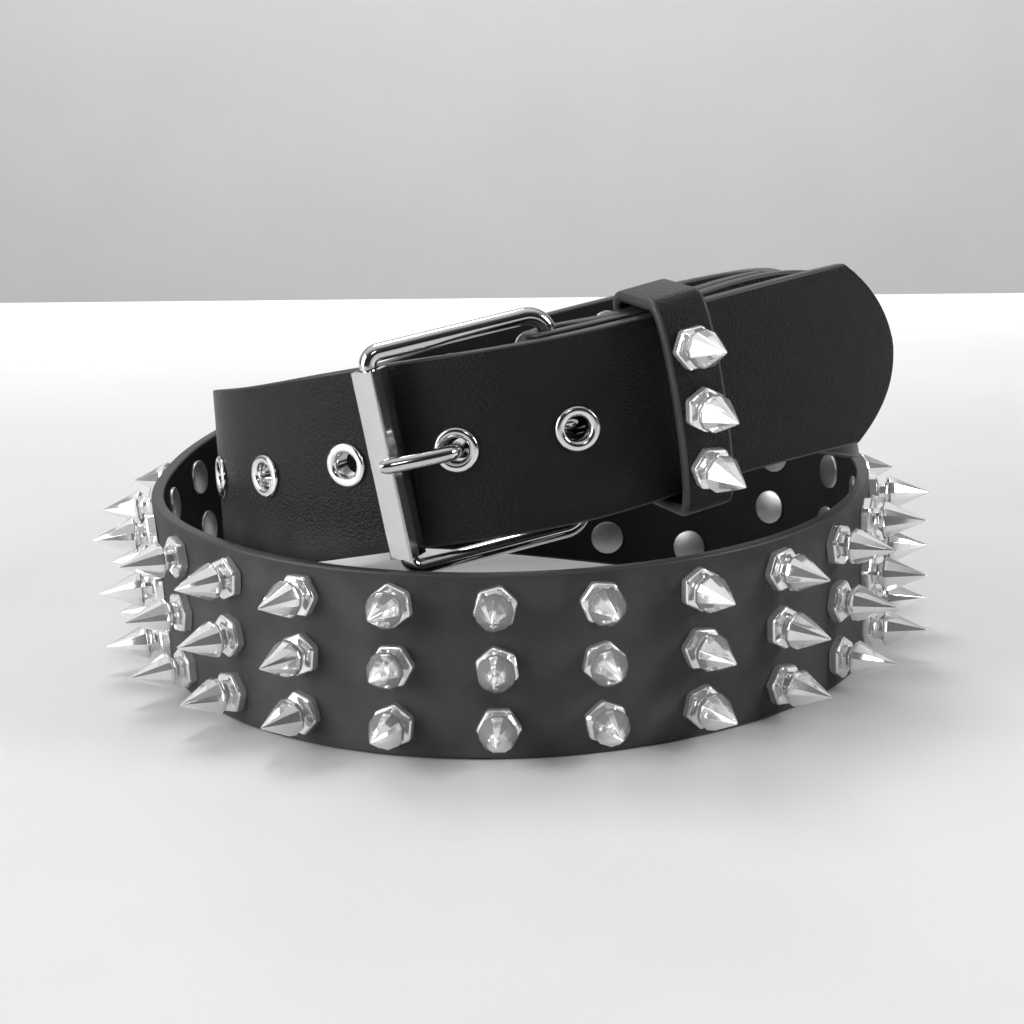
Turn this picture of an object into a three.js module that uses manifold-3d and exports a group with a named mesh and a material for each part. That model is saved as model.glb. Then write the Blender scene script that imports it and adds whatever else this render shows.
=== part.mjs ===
// A studded leather belt, buckled and coiled in two turns, standing on its edge.
// Millimetres, +Z up. The buckle faces -Y, and the belt's tip points towards +X.
// The origin is on the floor, below the middle of the coil's bounding box.

import * as THREE from "three";
import { mergeVertices } from "three/addons/utils/BufferGeometryUtils.js";
import Module from "manifold-3d";

const wasm = await Module();
wasm.setup();

// Clearances between pieces that touch on the real belt.
const FIT_GAP = 0.3;
const SEAT_GAP = 0.3;
const DISC_GAP = 0.55;

// Corners of a mesh closer than this are one corner.
const WELD_DISTANCE = 1e-4;

// Strap and the coil that it lies in.
const STRAP_WIDTH = 40;
const STRAP_THICKNESS = 3;
const COIL_HALF_WIDTH = 82.5;
const COIL_HALF_DEPTH = 66;
const LAP_GAP = 1.9;
const STRAP_STEP = 6;
const NOSE_LENGTH = 15;
const NOSE_STEPS = 8;
const NOSE_END_SHARE = 0.12;
const NOSE_ROUNDNESS = 0.5;

// Spikes: a hexagonal base, a neck and a faceted cone, with a post and a flat disc behind.
const SPIKE_LENGTH = 14.6;
const SPIKE_HEX_RADIUS = 4.6;
const SPIKE_HEX_HEIGHT = 2.1;
const SPIKE_NECK_RADIUS = 2.6;
const SPIKE_NECK_HEIGHT = 3.8;
const SPIKE_CONE_RADIUS = 4.2;
const SPIKE_CONE_BASE = 5.4;
const SPIKE_SIDES = 6;
const POST_RADIUS = 1.5;
const DISC_RADIUS = 4.2;
const DISC_THICKNESS = 0.9;
const DISC_SIDES = 8;
const POST_SIDES = 4;
const HEAD_ROOT = 1;

// The field of spikes along the strap.
const ROW_COUNT = 3;
const ROW_PITCH = 13.1;
const COLUMN_COUNT = 26;
const COLUMN_PITCH = 22;
const COLUMN_FLAT = 11;
const FRONT_COLUMN = 15;
const FRONT_COLUMN_SHIFT = -2.9;
const OWN_NODE_COLUMNS = { first: 10, last: 21 };
const TWIST_BY_COLUMN = 37;
const TWIST_BY_ROW = 23;

// Eyelets in the tail, counted from the tip.
const EYELET_COUNT = 6;
const EYELET_PITCH = 25.4;
const EYELET_FROM_TIP = 84.6;
const PRONG_EYELET = 1;
const EYELET_RIM_RADIUS = 4.75;
const EYELET_RIM_HEIGHT = 1.2;
const EYELET_FLANGE_RADIUS = 4;
const EYELET_FLANGE_HEIGHT = 0.8;
const EYELET_BORE_RADIUS = 2.5;
const EYELET_WALL = 0.5;
const EYELET_SIDES = 10;

// Buckle: a bent rod frame, a sleeve on its front bar and a prong on its rear bar.
const ROD_RADIUS = 1.9;
const ROD_SIDES = 8;
const FRAME_DEPTH = 38.5;
const FRAME_HEIGHT = 47;
const CORNER_STEPS = 4;
const ROLLER_RADIUS = 4;
const ROLLER_LENGTH = 41;
const ROLLER_STAND_OFF = 0.5;
const ROLLER_TURN = -5;
const ROLLER_SIDES = 4;
const PRONG_RADIUS = 1.7;
const PRONG_SIDES = 8;
const PRONG_RING_STEPS = 14;
const PRONG_BEND = 2.6;
const PRONG_LAY_ANGLE = 60;
const PRONG_RUN_STEPS = 4;
const PRONG_RUN_START = 0.25;
const BEND_STEPS = 4;
const PRONG_REST = { along: 0.8, out: 6.2 };
const SLOT_WIDTH = 6;
const SLOT_LENGTH = 9;

// Fold of the strap round the rear bar.
const FOLD_LENGTH = 50;
const FOLD_CLOSE = 14;
const FOLD_STEPS = 10;
const FOLD_GAP = 0.4;

// Keeper: a leather loop that bulges over the tail.
const KEEPER_FROM_BAR = 24;
const KEEPER_WIDTH = 12;
const KEEPER_THICKNESS = 2.4;
const KEEPER_EDGE_GAP = 1.6;
const KEEPER_BACK_GAP = 0.6;
const KEEPER_SHOULDER = 1;
const KEEPER_BULGE = 5.6;
const KEEPER_FULLNESS = 0.75;
const KEEPER_CORNER = 3;
const KEEPER_CORNER_STEPS = 4;
const KEEPER_ARCH_STEPS = 10;

// The strap's route. Turn is in degrees round the coil, from the front centre to the right. Reach is
// a share of the coil's half width and half depth, lift is the strap's middle as a share of its width,
// and lean is how many degrees its top tips inwards. The lower turn stands on the floor from 270 to 480.
const ROUTE = [
  { turn: 70, reach: 0.93, lift: 1.8, lean: 3 },
  { turn: 85, reach: 0.943, lift: 1.67, lean: 6 },
  { turn: 100, reach: 0.955, lift: 1.59, lean: 9 },
  { turn: 120, reach: 1.03, lift: 1.545, lean: 11 },
  { turn: 135, reach: 1.2, lift: 1.5, lean: 12 },
  { turn: 150, reach: 1.36, lift: 1.36, lean: 8 },
  { turn: 180, reach: 1.4, lift: 0.988, lean: 0 },
  { turn: 215, reach: 1.264, lift: 0.635, lean: -6 },
  { turn: 245, reach: 1.06, lift: 0.525, lean: -5 },
  { turn: 270, reach: 0.971, lift: 0.502, lean: -3 },
  { turn: 300, reach: 0.941, lift: 0.5, lean: 0 },
  { turn: 330, reach: 1, lift: 0.5, lean: 3 },
  { turn: 360, reach: 1.052, lift: 0.5, lean: 3.5 },
  { turn: 390, reach: 1.026, lift: 0.5, lean: 0.5 },
  { turn: 420, reach: 0.987, lift: 0.5, lean: 1 },
  { turn: 450, reach: 1.005, lift: 0.5, lean: 0 },
  { turn: 480, reach: 1.097, lift: 0.5, lean: -5 },
  { turn: 510, reach: 1.097, lift: 0.51, lean: -14 },
  { turn: 545, reach: 0.947, lift: 0.69, lean: 0 },
  { turn: 580, reach: 0.842, lift: 0.885, lean: -3 },
  { turn: 615, reach: 0.793, lift: 1.06, lean: -2 },
  { turn: 640, reach: 0.785, lift: 1.19, lean: 0 },
  { turn: 670, reach: 0.799, lift: 1.35, lean: 3 },
  { turn: 700, reach: 0.858, lift: 1.545, lean: 2 },
  { turn: 730, reach: 0.885, lift: 1.69, lean: 5 },
  { turn: 755, reach: 0.87, lift: 1.8, lean: 0 },
  { turn: 784, reach: 0.982, lift: 1.875, lean: 5 },
  { turn: 798, reach: 1.073, lift: 1.872, lean: 9 },
];
const FULL_TURN = 360;
const SLOPE_STEP = 0.25;
const LAP_SLOPE_STEP = 0.5;
const LAP_TURNS = [0, 20, 40, 58];
const FRONT_TURN = FULL_TURN;
const TIP_TURN = ROUTE[ROUTE.length - 1].turn;

const LEATHER = { color: 0x151515, roughness: 0.5, metalness: 0 };
const CHROME = { color: 0xd0d2d4, roughness: 0.15, metalness: 1 };

// A natural cubic spline through the points, as a function.
function naturalSpline(xs, ys) {
  const last = xs.length - 1;
  const bend = new Array(last + 1).fill(0);
  const carry = new Array(last + 1).fill(0);
  for (let i = 1; i < last; i += 1) {
    const span = xs[i + 1] - xs[i - 1];
    const share = (xs[i] - xs[i - 1]) / span;
    const pivot = share * bend[i - 1] + 2;
    const slopeAfter = (ys[i + 1] - ys[i]) / (xs[i + 1] - xs[i]);
    const slopeBefore = (ys[i] - ys[i - 1]) / (xs[i] - xs[i - 1]);
    bend[i] = (share - 1) / pivot;
    carry[i] = ((6 * (slopeAfter - slopeBefore)) / span - share * carry[i - 1]) / pivot;
  }
  for (let i = last - 1; i > 0; i -= 1) {
    bend[i] = bend[i] * bend[i + 1] + carry[i];
  }
  return (x) => {
    let i = 0;
    while (i < last - 1 && x > xs[i + 1]) {
      i += 1;
    }
    const h = xs[i + 1] - xs[i];
    const a = (xs[i + 1] - x) / h;
    const b = (x - xs[i]) / h;
    const curve = (a ** 3 - a) * bend[i] + (b ** 3 - b) * bend[i + 1];
    return a * ys[i] + b * ys[i + 1] + (curve * h * h) / 6;
  };
}

function splines(rows) {
  const turns = rows.map((row) => row.turn);
  return {
    reach: naturalSpline(turns, rows.map((row) => row.reach)),
    lift: naturalSpline(turns, rows.map((row) => row.lift)),
    lean: naturalSpline(turns, rows.map((row) => row.lean)),
  };
}

function routePoint(route, turn) {
  const angle = THREE.MathUtils.degToRad(turn);
  const reach = route.reach(turn);
  return new THREE.Vector3(
    COIL_HALF_WIDTH * reach * Math.sin(angle),
    -COIL_HALF_DEPTH * reach * Math.cos(angle),
    STRAP_WIDTH * route.lift(turn),
  );
}

// The strap's first stretch lies behind its tail, so its rows follow the tail's, one lap further in.
function lapRows(route) {
  const lap = STRAP_THICKNESS + LAP_GAP;
  return LAP_TURNS.map((turn) => {
    const above = turn + 2 * FULL_TURN;
    const after = routePoint(route, above + LAP_SLOPE_STEP);
    const along = after.sub(routePoint(route, above - LAP_SLOPE_STEP));
    const out = new THREE.Vector3(along.y, -along.x, 0).normalize();
    const angle = THREE.MathUtils.degToRad(turn);
    const ray = new THREE.Vector3(
      COIL_HALF_WIDTH * Math.sin(angle),
      -COIL_HALF_DEPTH * Math.cos(angle),
      0,
    );
    return {
      turn,
      reach: route.reach(above) - lap / ray.dot(out),
      lift: route.lift(above),
      lean: route.lean(above),
    };
  });
}

const route = splines([...lapRows(splines(ROUTE)), ...ROUTE]);

// The strap's frame at a turn: along it, up across its width, and out of its outer face.
function frameAtTurn(turn) {
  const point = routePoint(route, turn);
  const after = routePoint(route, turn + SLOPE_STEP);
  const along = after.sub(routePoint(route, turn - SLOPE_STEP)).normalize();
  const level = new THREE.Vector3(along.y, -along.x, 0).normalize();
  const upright = new THREE.Vector3().crossVectors(level, along);
  const lean = THREE.MathUtils.degToRad(route.lean(turn));
  const up = upright.multiplyScalar(Math.cos(lean)).addScaledVector(level, -Math.sin(lean)).normalize();
  const out = new THREE.Vector3().crossVectors(along, up);
  return { point, along, up, out };
}

// Lengths along the strap against turns, at each whole degree.
const lengthAtDegree = [0];
for (let turn = 1; turn <= TIP_TURN; turn += 1) {
  const piece = routePoint(route, turn).distanceTo(routePoint(route, turn - 1));
  lengthAtDegree.push(lengthAtDegree[turn - 1] + piece);
}
const ROUTE_LENGTH = lengthAtDegree[TIP_TURN];

function lengthAt(turn) {
  const low = Math.min(Math.floor(turn), TIP_TURN - 1);
  return THREE.MathUtils.lerp(lengthAtDegree[low], lengthAtDegree[low + 1], turn - low);
}

function turnAt(length) {
  let low = 0;
  while (low < TIP_TURN - 1 && lengthAtDegree[low + 1] < length) {
    low += 1;
  }
  return low + (length - lengthAtDegree[low]) / (lengthAtDegree[low + 1] - lengthAtDegree[low]);
}

function frameAt(length) {
  return frameAtTurn(turnAt(length));
}

// A point given in a frame: how far along, up and out of it.
function inFrame(frame, along, up, out) {
  return frame.point
    .clone()
    .addScaledVector(frame.along, along)
    .addScaledVector(frame.up, up)
    .addScaledVector(frame.out, out);
}

// A closed body through rings of points. Each ring runs anticlockwise, seen looking back along the
// row of rings.
function loft(rings, isLoop = false) {
  const count = rings[0].length;
  const positions = rings.flat().flatMap((point) => point.toArray());
  const indices = [];
  const bands = isLoop ? rings.length : rings.length - 1;
  for (let band = 0; band < bands; band += 1) {
    const low = band * count;
    const high = ((band + 1) % rings.length) * count;
    for (let i = 0; i < count; i += 1) {
      const j = (i + 1) % count;
      indices.push(low + i, low + j, high + j, low + i, high + j, high + i);
    }
  }
  if (!isLoop) {
    const top = (rings.length - 1) * count;
    for (let i = 1; i < count - 1; i += 1) {
      indices.push(0, i + 1, i, top, top + i, top + i + 1);
    }
  }
  const geometry = new THREE.BufferGeometry();
  geometry.setAttribute("position", new THREE.Float32BufferAttribute(positions, 3));
  geometry.setIndex(indices);
  return geometry;
}

// A geometry as a solid that can be joined and cut.
function solidOf(geometry) {
  const bare = geometry.clone();
  bare.deleteAttribute("normal");
  bare.deleteAttribute("uv");
  const merged = mergeVertices(bare, WELD_DISTANCE);
  const corners = merged.index.array;
  const kept = [];
  for (let i = 0; i < corners.length; i += 3) {
    const [a, b, c] = corners.slice(i, i + 3);
    if (a !== b && b !== c && c !== a) {
      kept.push(a, b, c);
    }
  }
  return new wasm.Manifold(
    new wasm.Mesh({
      numProp: 3,
      vertProperties: new Float32Array(merged.attributes.position.array),
      triVerts: new Uint32Array(kept),
    }),
  );
}

function geometryOf(solid) {
  const mesh = solid.getMesh();
  const geometry = new THREE.BufferGeometry();
  geometry.setAttribute("position", new THREE.BufferAttribute(mesh.vertProperties, 3));
  geometry.setIndex(new THREE.BufferAttribute(mesh.triVerts, 1));
  return geometry;
}

function placed(geometry, matrix) {
  return geometry.clone().applyMatrix4(matrix);
}

// The place of a fastener in a frame, with its axis out of the surface.
function seat(frame, up, out, twist = 0) {
  const matrix = new THREE.Matrix4().makeBasis(frame.along, frame.up, frame.out);
  matrix.multiply(new THREE.Matrix4().makeRotationZ(THREE.MathUtils.degToRad(twist)));
  return matrix.setPosition(inFrame(frame, 0, up, out));
}

// A turned profile of [radius, height] pairs that starts and ends on the axis, or closes on itself.
function turned(profile, sides) {
  const points = profile.map(([radius, height]) => new THREE.Vector2(radius, height));
  return new THREE.LatheGeometry(points, sides).rotateX(Math.PI / 2);
}

function cylinder(radius, low, high, sides) {
  return turned([[0, low], [radius, low], [radius, high], [0, high]], sides);
}

// A spike's head over a wall's outer face, reaching down by its root below its seat.
function headGeometry(wall, gap, root) {
  const base = wall / 2 + gap;
  const head = [
    [0, base - root],
    [SPIKE_HEX_RADIUS, base - root],
    [SPIKE_HEX_RADIUS, base + SPIKE_HEX_HEIGHT],
    [SPIKE_NECK_RADIUS, base + SPIKE_NECK_HEIGHT],
    [SPIKE_CONE_RADIUS, base + SPIKE_CONE_BASE],
    [0, base + SPIKE_LENGTH],
  ];
  return turned(head, SPIKE_SIDES);
}

// A whole spike: its head, its post through the wall and its disc behind.
function spikeGeometry(wall) {
  const base = wall / 2 + SEAT_GAP;
  const back = -wall / 2 - DISC_GAP;
  const disc = [
    [0, back - DISC_THICKNESS],
    [DISC_RADIUS, back - DISC_THICKNESS],
    [DISC_RADIUS, back],
    [0, back],
  ];
  const post = cylinder(POST_RADIUS, back - DISC_THICKNESS / 2, base + SPIKE_HEX_HEIGHT / 2, POST_SIDES);
  const head = solidOf(headGeometry(wall, SEAT_GAP, 0));
  return geometryOf(head.add(solidOf(turned(disc, DISC_SIDES))).add(solidOf(post)));
}

function material(finish) {
  return new THREE.MeshStandardMaterial(finish);
}

const belt = new THREE.Group();

function addMesh(name, geometry, finish, matrix = null) {
  const mesh = new THREE.Mesh(geometry, material(finish));
  mesh.name = name;
  if (matrix) {
    mesh.position.setFromMatrixPosition(matrix);
    mesh.quaternion.setFromRotationMatrix(matrix);
  }
  belt.add(mesh);
  return mesh;
}

// The buckle's places along the tail and behind it.
const barLength = ROUTE_LENGTH - EYELET_FROM_TIP;
const rollerLength = barLength - FRAME_DEPTH;
const tailAtRoller = frameAt(rollerLength);
const barTurn = turnAt(barLength) - 2 * FULL_TURN;
const foldStart = lengthAt(barTurn);
const firstAtBar = frameAtTurn(barTurn);
const foldRadius = ROD_RADIUS + FIT_GAP + STRAP_THICKNESS / 2;
const barCentre = inFrame(firstAtBar, 0, 0, -foldRadius);
const rollerCentre = inFrame(tailAtRoller, 0, 0, STRAP_THICKNESS / 2 + ROLLER_STAND_OFF + ROLLER_RADIUS);

// Fasteners along the strap.
const columnLengths = Array.from({ length: COLUMN_COUNT }, (_, column) => {
  const front = lengthAt(FRONT_TURN) + FRONT_COLUMN_SHIFT;
  return front + (column - FRONT_COLUMN) * COLUMN_PITCH;
});

function spikePlaces() {
  const places = [];
  for (let column = 0; column < COLUMN_COUNT; column += 1) {
    const frame = frameAt(columnLengths[column]);
    for (let row = 0; row < ROW_COUNT; row += 1) {
      const up = ((ROW_COUNT - 1) / 2 - row) * ROW_PITCH;
      const twist = column * TWIST_BY_COLUMN + row * TWIST_BY_ROW;
      const isOwnNode = column >= OWN_NODE_COLUMNS.first && column <= OWN_NODE_COLUMNS.last;
      places.push({ column, row, matrix: seat(frame, up, 0, twist), isOwnNode });
    }
  }
  return places;
}

function eyeletFrame(index) {
  return frameAt(ROUTE_LENGTH - EYELET_FROM_TIP - index * EYELET_PITCH);
}

// The strap's section, a rectangle across its width and thickness.
function strapRing(point, up, out, halfWidth) {
  const half = STRAP_THICKNESS / 2;
  const corner = (across, depth) => point.clone().addScaledVector(up, across).addScaledVector(out, depth);
  return [
    corner(-halfWidth, -half),
    corner(-halfWidth, half),
    corner(halfWidth, half),
    corner(halfWidth, -half),
  ].reverse();
}

// Middle line of the fold: back along the inner layer, round the bar and out to the strap's first stretch.
function foldLine() {
  const line = [];
  const flat = STRAP_THICKNESS + FOLD_GAP;
  const innerSteps = Math.round((FOLD_LENGTH - FOLD_CLOSE) / STRAP_STEP);
  for (let i = 0; i < innerSteps; i += 1) {
    const length = THREE.MathUtils.lerp(FOLD_LENGTH, FOLD_CLOSE, i / innerSteps);
    line.push({ frame: frameAt(foldStart + length), out: -flat });
  }
  for (let i = 0; i < FOLD_STEPS; i += 1) {
    const share = i / FOLD_STEPS;
    const ease = (1 - Math.cos(Math.PI * share)) / 2;
    const length = FOLD_CLOSE * (1 - share);
    line.push({ frame: frameAt(foldStart + length), out: -THREE.MathUtils.lerp(flat, 2 * foldRadius, ease) });
  }
  return line.map(({ frame, out }) => ({ point: inFrame(frame, 0, 0, out), up: frame.up }));
}

function bendLine() {
  const line = [];
  for (let i = 0; i <= FOLD_STEPS; i += 1) {
    const angle = (Math.PI * i) / FOLD_STEPS;
    const along = -foldRadius * Math.sin(angle);
    const out = -foldRadius - foldRadius * Math.cos(angle);
    line.push({ point: inFrame(firstAtBar, along, 0, out), up: firstAtBar.up });
  }
  return line;
}

function evenLengths(from, to) {
  const steps = Math.ceil((to - from) / STRAP_STEP);
  return Array.from({ length: steps + 1 }, (_, i) => THREE.MathUtils.lerp(from, to, i / steps));
}

// The coil's stations: even where the strap is plain, and one flat stretch under each column of spikes.
function coilLine() {
  const half = COLUMN_FLAT / 2;
  const plainStart = evenLengths(foldStart, columnLengths[0] - half).slice(1, -1);
  const studded = columnLengths.flatMap((length) => [length - half, length + half]);
  const plainEnd = evenLengths(columnLengths[COLUMN_COUNT - 1] + half, ROUTE_LENGTH - NOSE_LENGTH).slice(1);
  return [...plainStart, ...studded, ...plainEnd].map((length) => {
    const frame = frameAt(length);
    return { point: frame.point, up: frame.up };
  });
}

// Half width of the strap's nose at a share of its length from the shoulders to the tip.
function noseHalfWidth(share) {
  const half = (STRAP_WIDTH / 2) * (1 - share) ** NOSE_ROUNDNESS;
  return Math.max(half, (STRAP_WIDTH / 2) * NOSE_END_SHARE);
}

function noseLine() {
  const line = [];
  for (let i = 1; i <= NOSE_STEPS; i += 1) {
    const share = Math.sin(((Math.PI / 2) * i) / NOSE_STEPS);
    const frame = frameAt(ROUTE_LENGTH - NOSE_LENGTH * (1 - share));
    line.push({ point: frame.point, up: frame.up, halfWidth: noseHalfWidth(share) });
  }
  return line;
}

function strapGeometry() {
  const line = [...foldLine(), ...bendLine(), ...coilLine(), ...noseLine()];
  const rings = line.map(({ point, up, halfWidth = STRAP_WIDTH / 2 }, i) => {
    const before = line[Math.max(i - 1, 0)].point;
    const after = line[Math.min(i + 1, line.length - 1)].point;
    const along = after.clone().sub(before).normalize();
    const out = new THREE.Vector3().crossVectors(along, up).normalize();
    return strapRing(point, up, out, halfWidth);
  });
  return loft(rings);
}

function buildStrap(spikes) {
  let strap = solidOf(strapGeometry());
  const fused = headGeometry(STRAP_THICKNESS, 0, HEAD_ROOT);
  const postHole = cylinder(POST_RADIUS + FIT_GAP, -STRAP_THICKNESS, STRAP_THICKNESS, POST_SIDES);
  for (const spike of spikes) {
    if (spike.isOwnNode) {
      strap = strap.subtract(solidOf(placed(postHole, spike.matrix)));
    } else {
      strap = strap.add(solidOf(placed(fused, spike.matrix)));
    }
  }
  const barrel = EYELET_BORE_RADIUS + EYELET_WALL;
  const eyeletHole = cylinder(barrel + FIT_GAP, -STRAP_THICKNESS, STRAP_THICKNESS, EYELET_SIDES);
  for (let i = 0; i < EYELET_COUNT; i += 1) {
    strap = strap.subtract(solidOf(placed(eyeletHole, seat(eyeletFrame(i), 0, 0))));
  }
  const depth = 2 * foldRadius + STRAP_THICKNESS + LAP_GAP;
  const slot = new THREE.BoxGeometry(2 * SLOT_LENGTH, SLOT_WIDTH, depth);
  strap = strap.subtract(solidOf(placed(slot, seat(firstAtBar, 0, -foldRadius))));
  addMesh("strap", geometryOf(strap), LEATHER);
}

function buildSpikes(spikes) {
  const geometry = spikeGeometry(STRAP_THICKNESS);
  for (const spike of spikes.filter((place) => place.isOwnNode)) {
    const column = spike.column - OWN_NODE_COLUMNS.first + 1;
    addMesh(`spike_${column}_${spike.row + 1}`, geometry, CHROME, spike.matrix);
  }
}

function buildEyelets() {
  const front = STRAP_THICKNESS / 2 + SEAT_GAP;
  const barrel = EYELET_BORE_RADIUS + EYELET_WALL;
  const profile = [
    [EYELET_BORE_RADIUS, -front - EYELET_FLANGE_HEIGHT],
    [EYELET_FLANGE_RADIUS, -front - EYELET_FLANGE_HEIGHT],
    [EYELET_FLANGE_RADIUS, -front],
    [barrel, -front],
    [barrel, front],
    [EYELET_RIM_RADIUS, front],
    [EYELET_RIM_RADIUS - EYELET_RIM_HEIGHT / 2, front + EYELET_RIM_HEIGHT],
    [barrel, front + EYELET_RIM_HEIGHT],
    [EYELET_BORE_RADIUS, front],
    [EYELET_BORE_RADIUS, -front - EYELET_FLANGE_HEIGHT],
  ];
  const geometry = geometryOf(solidOf(turned(profile, EYELET_SIDES)));
  for (let i = 0; i < EYELET_COUNT; i += 1) {
    addMesh(`eyelet_${i + 1}`, geometry, CHROME, seat(eyeletFrame(i), 0, 0));
  }
}

// Rings of a round rod along a line of points. The side axis stays square to the line's plane.
function rodRings(points, side, radius, sides, isLoop = false) {
  return points.map((point, i) => {
    const before = isLoop ? points.at(i - 1) : points[Math.max(i - 1, 0)];
    const after = isLoop ? points[(i + 1) % points.length] : points[Math.min(i + 1, points.length - 1)];
    const along = after.clone().sub(before).normalize();
    const other = new THREE.Vector3().crossVectors(along, side).normalize();
    const ring = [];
    for (let k = 0; k < sides; k += 1) {
      const angle = (2 * Math.PI * (k + 0.5)) / sides;
      const offset = side.clone().multiplyScalar(Math.cos(angle)).addScaledVector(other, Math.sin(angle));
      ring.push(point.clone().addScaledVector(offset, radius));
    }
    return ring;
  });
}

// The frame's plane: its depth runs from the front bar to the rear bar, and its height along the bars.
function bucklePlane() {
  const height = firstAtBar.up.clone();
  const depth = barCentre.clone().sub(rollerCentre);
  const slide = depth.dot(height) / 2;
  const front = rollerCentre.clone().addScaledVector(height, slide);
  const rear = barCentre.clone().addScaledVector(height, -slide);
  const across = rear.sub(front);
  return { front, height, depth: across.clone().normalize(), reach: across.length() };
}

function buildFrame(plane) {
  const corners = [
    { depth: 0, height: -1 },
    { depth: 1, height: -1 },
    { depth: 1, height: 1 },
    { depth: 0, height: 1 },
  ];
  const normal = new THREE.Vector3().crossVectors(plane.depth, plane.height).normalize();
  const points = [];
  const radius = (FRAME_HEIGHT - ROLLER_LENGTH) / 2 - FIT_GAP;
  corners.forEach((corner, i) => {
    const centreDepth = corner.depth ? plane.reach - radius : radius;
    const centreHeight = corner.height * (FRAME_HEIGHT / 2 - radius);
    for (let k = 0; k <= CORNER_STEPS; k += 1) {
      const angle = -Math.PI + (Math.PI / 2) * (i + k / CORNER_STEPS);
      points.push(
        plane.front
          .clone()
          .addScaledVector(plane.depth, centreDepth + radius * Math.cos(angle))
          .addScaledVector(plane.height, centreHeight + radius * Math.sin(angle)),
      );
    }
  });
  addMesh("buckle_frame", loft(rodRings(points, normal, ROD_RADIUS, ROD_SIDES, true), true), CHROME);
}

function buildRoller(plane) {
  const half = ROLLER_LENGTH / 2;
  const bore = ROD_RADIUS + FIT_GAP;
  const sleeve = solidOf(cylinder(ROLLER_RADIUS, -half, half, ROLLER_SIDES));
  const hollow = solidOf(cylinder(bore, -ROLLER_LENGTH, ROLLER_LENGTH, ROD_SIDES * 2));
  const out = new THREE.Vector3().crossVectors(plane.depth, plane.height).normalize();
  const matrix = new THREE.Matrix4().makeBasis(plane.depth, out.clone().negate(), plane.height);
  const turn = THREE.MathUtils.degToRad(ROLLER_TURN);
  matrix.multiply(new THREE.Matrix4().makeRotationZ(turn)).setPosition(plane.front);
  addMesh("buckle_roller", geometryOf(sleeve.subtract(hollow)), CHROME, matrix);
}

// The prong's arm: a run behind the tail, a bend through its eyelet and a run to the roller.
function prongLine() {
  const eyelet = eyeletFrame(PRONG_EYELET);
  const eyeletLength = ROUTE_LENGTH - EYELET_FROM_TIP - PRONG_EYELET * EYELET_PITCH;
  const behind = -(STRAP_THICKNESS / 2 + SEAT_GAP + EYELET_FLANGE_HEIGHT + FIT_GAP + PRONG_RADIUS);
  const line = [];
  const runEnd = eyeletLength + PRONG_BEND;
  for (let i = 0; i < PRONG_RUN_STEPS; i += 1) {
    const share = (i + PRONG_RUN_START) / PRONG_RUN_STEPS;
    const frame = frameAt(THREE.MathUtils.lerp(barLength, runEnd, share));
    line.push(inFrame(frame, 0, 0, behind));
  }
  for (let i = 0; i <= BEND_STEPS; i += 1) {
    const angle = ((Math.PI / 2) * i) / BEND_STEPS;
    const along = PRONG_BEND * (1 - Math.sin(angle));
    const out = behind + PRONG_BEND * (1 - Math.cos(angle));
    line.push(inFrame(eyelet, along, 0, out));
  }
  const before = STRAP_THICKNESS / 2 + SEAT_GAP + EYELET_RIM_HEIGHT;
  const lay = THREE.MathUtils.degToRad(PRONG_LAY_ANGLE);
  for (let i = 0; i <= BEND_STEPS; i += 1) {
    const angle = (lay * i) / BEND_STEPS;
    line.push(inFrame(eyelet, -PRONG_BEND * (1 - Math.cos(angle)), 0, before + PRONG_BEND * Math.sin(angle)));
  }
  const rest = STRAP_THICKNESS / 2 + ROLLER_STAND_OFF + ROLLER_RADIUS + PRONG_REST.out;
  line.push(inFrame(tailAtRoller, PRONG_REST.along, 0, rest));
  return line;
}

function buildProng() {
  const ringRadius = ROD_RADIUS + FIT_GAP + PRONG_RADIUS;
  const ring = [];
  for (let i = 0; i < PRONG_RING_STEPS; i += 1) {
    const angle = (2 * Math.PI * i) / PRONG_RING_STEPS;
    const offset = firstAtBar.along.clone().multiplyScalar(ringRadius * Math.cos(angle));
    offset.addScaledVector(firstAtBar.out, ringRadius * Math.sin(angle));
    ring.push(barCentre.clone().add(offset));
  }
  const loop = solidOf(loft(rodRings(ring, firstAtBar.up, PRONG_RADIUS, PRONG_SIDES, true), true));
  const arm = solidOf(loft(rodRings(prongLine(), firstAtBar.up, PRONG_RADIUS, PRONG_SIDES)));
  addMesh("buckle_prong", geometryOf(loop.add(arm)), CHROME);
}

// The keeper's middle line across the strap: [up, out] pairs round the loop.
function keeperOutline() {
  const wall = KEEPER_THICKNESS / 2;
  const side = STRAP_WIDTH / 2 + KEEPER_EDGE_GAP + wall;
  const stack = STRAP_THICKNESS / 2 + LAP_GAP + 2 * STRAP_THICKNESS + FOLD_GAP;
  const back = -(stack + KEEPER_BACK_GAP + wall);
  const shoulder = STRAP_THICKNESS / 2 + KEEPER_SHOULDER + wall;
  const outline = [];
  const addCorner = (up, out, from) => {
    for (let i = 0; i <= KEEPER_CORNER_STEPS; i += 1) {
      const angle = from + ((Math.PI / 2) * i) / KEEPER_CORNER_STEPS;
      outline.push([up + KEEPER_CORNER * Math.cos(angle), out + KEEPER_CORNER * Math.sin(angle)]);
    }
  };
  addCorner(-side + KEEPER_CORNER, back + KEEPER_CORNER, Math.PI);
  addCorner(side - KEEPER_CORNER, back + KEEPER_CORNER, 1.5 * Math.PI);
  for (let i = 0; i <= KEEPER_ARCH_STEPS; i += 1) {
    const angle = (Math.PI * i) / KEEPER_ARCH_STEPS;
    const bulge = Math.sin(angle) ** KEEPER_FULLNESS;
    outline.push([side * Math.cos(angle), shoulder + KEEPER_BULGE * bulge]);
  }
  return outline;
}

const keeperFrame = frameAt(barLength + KEEPER_FROM_BAR);

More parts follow.
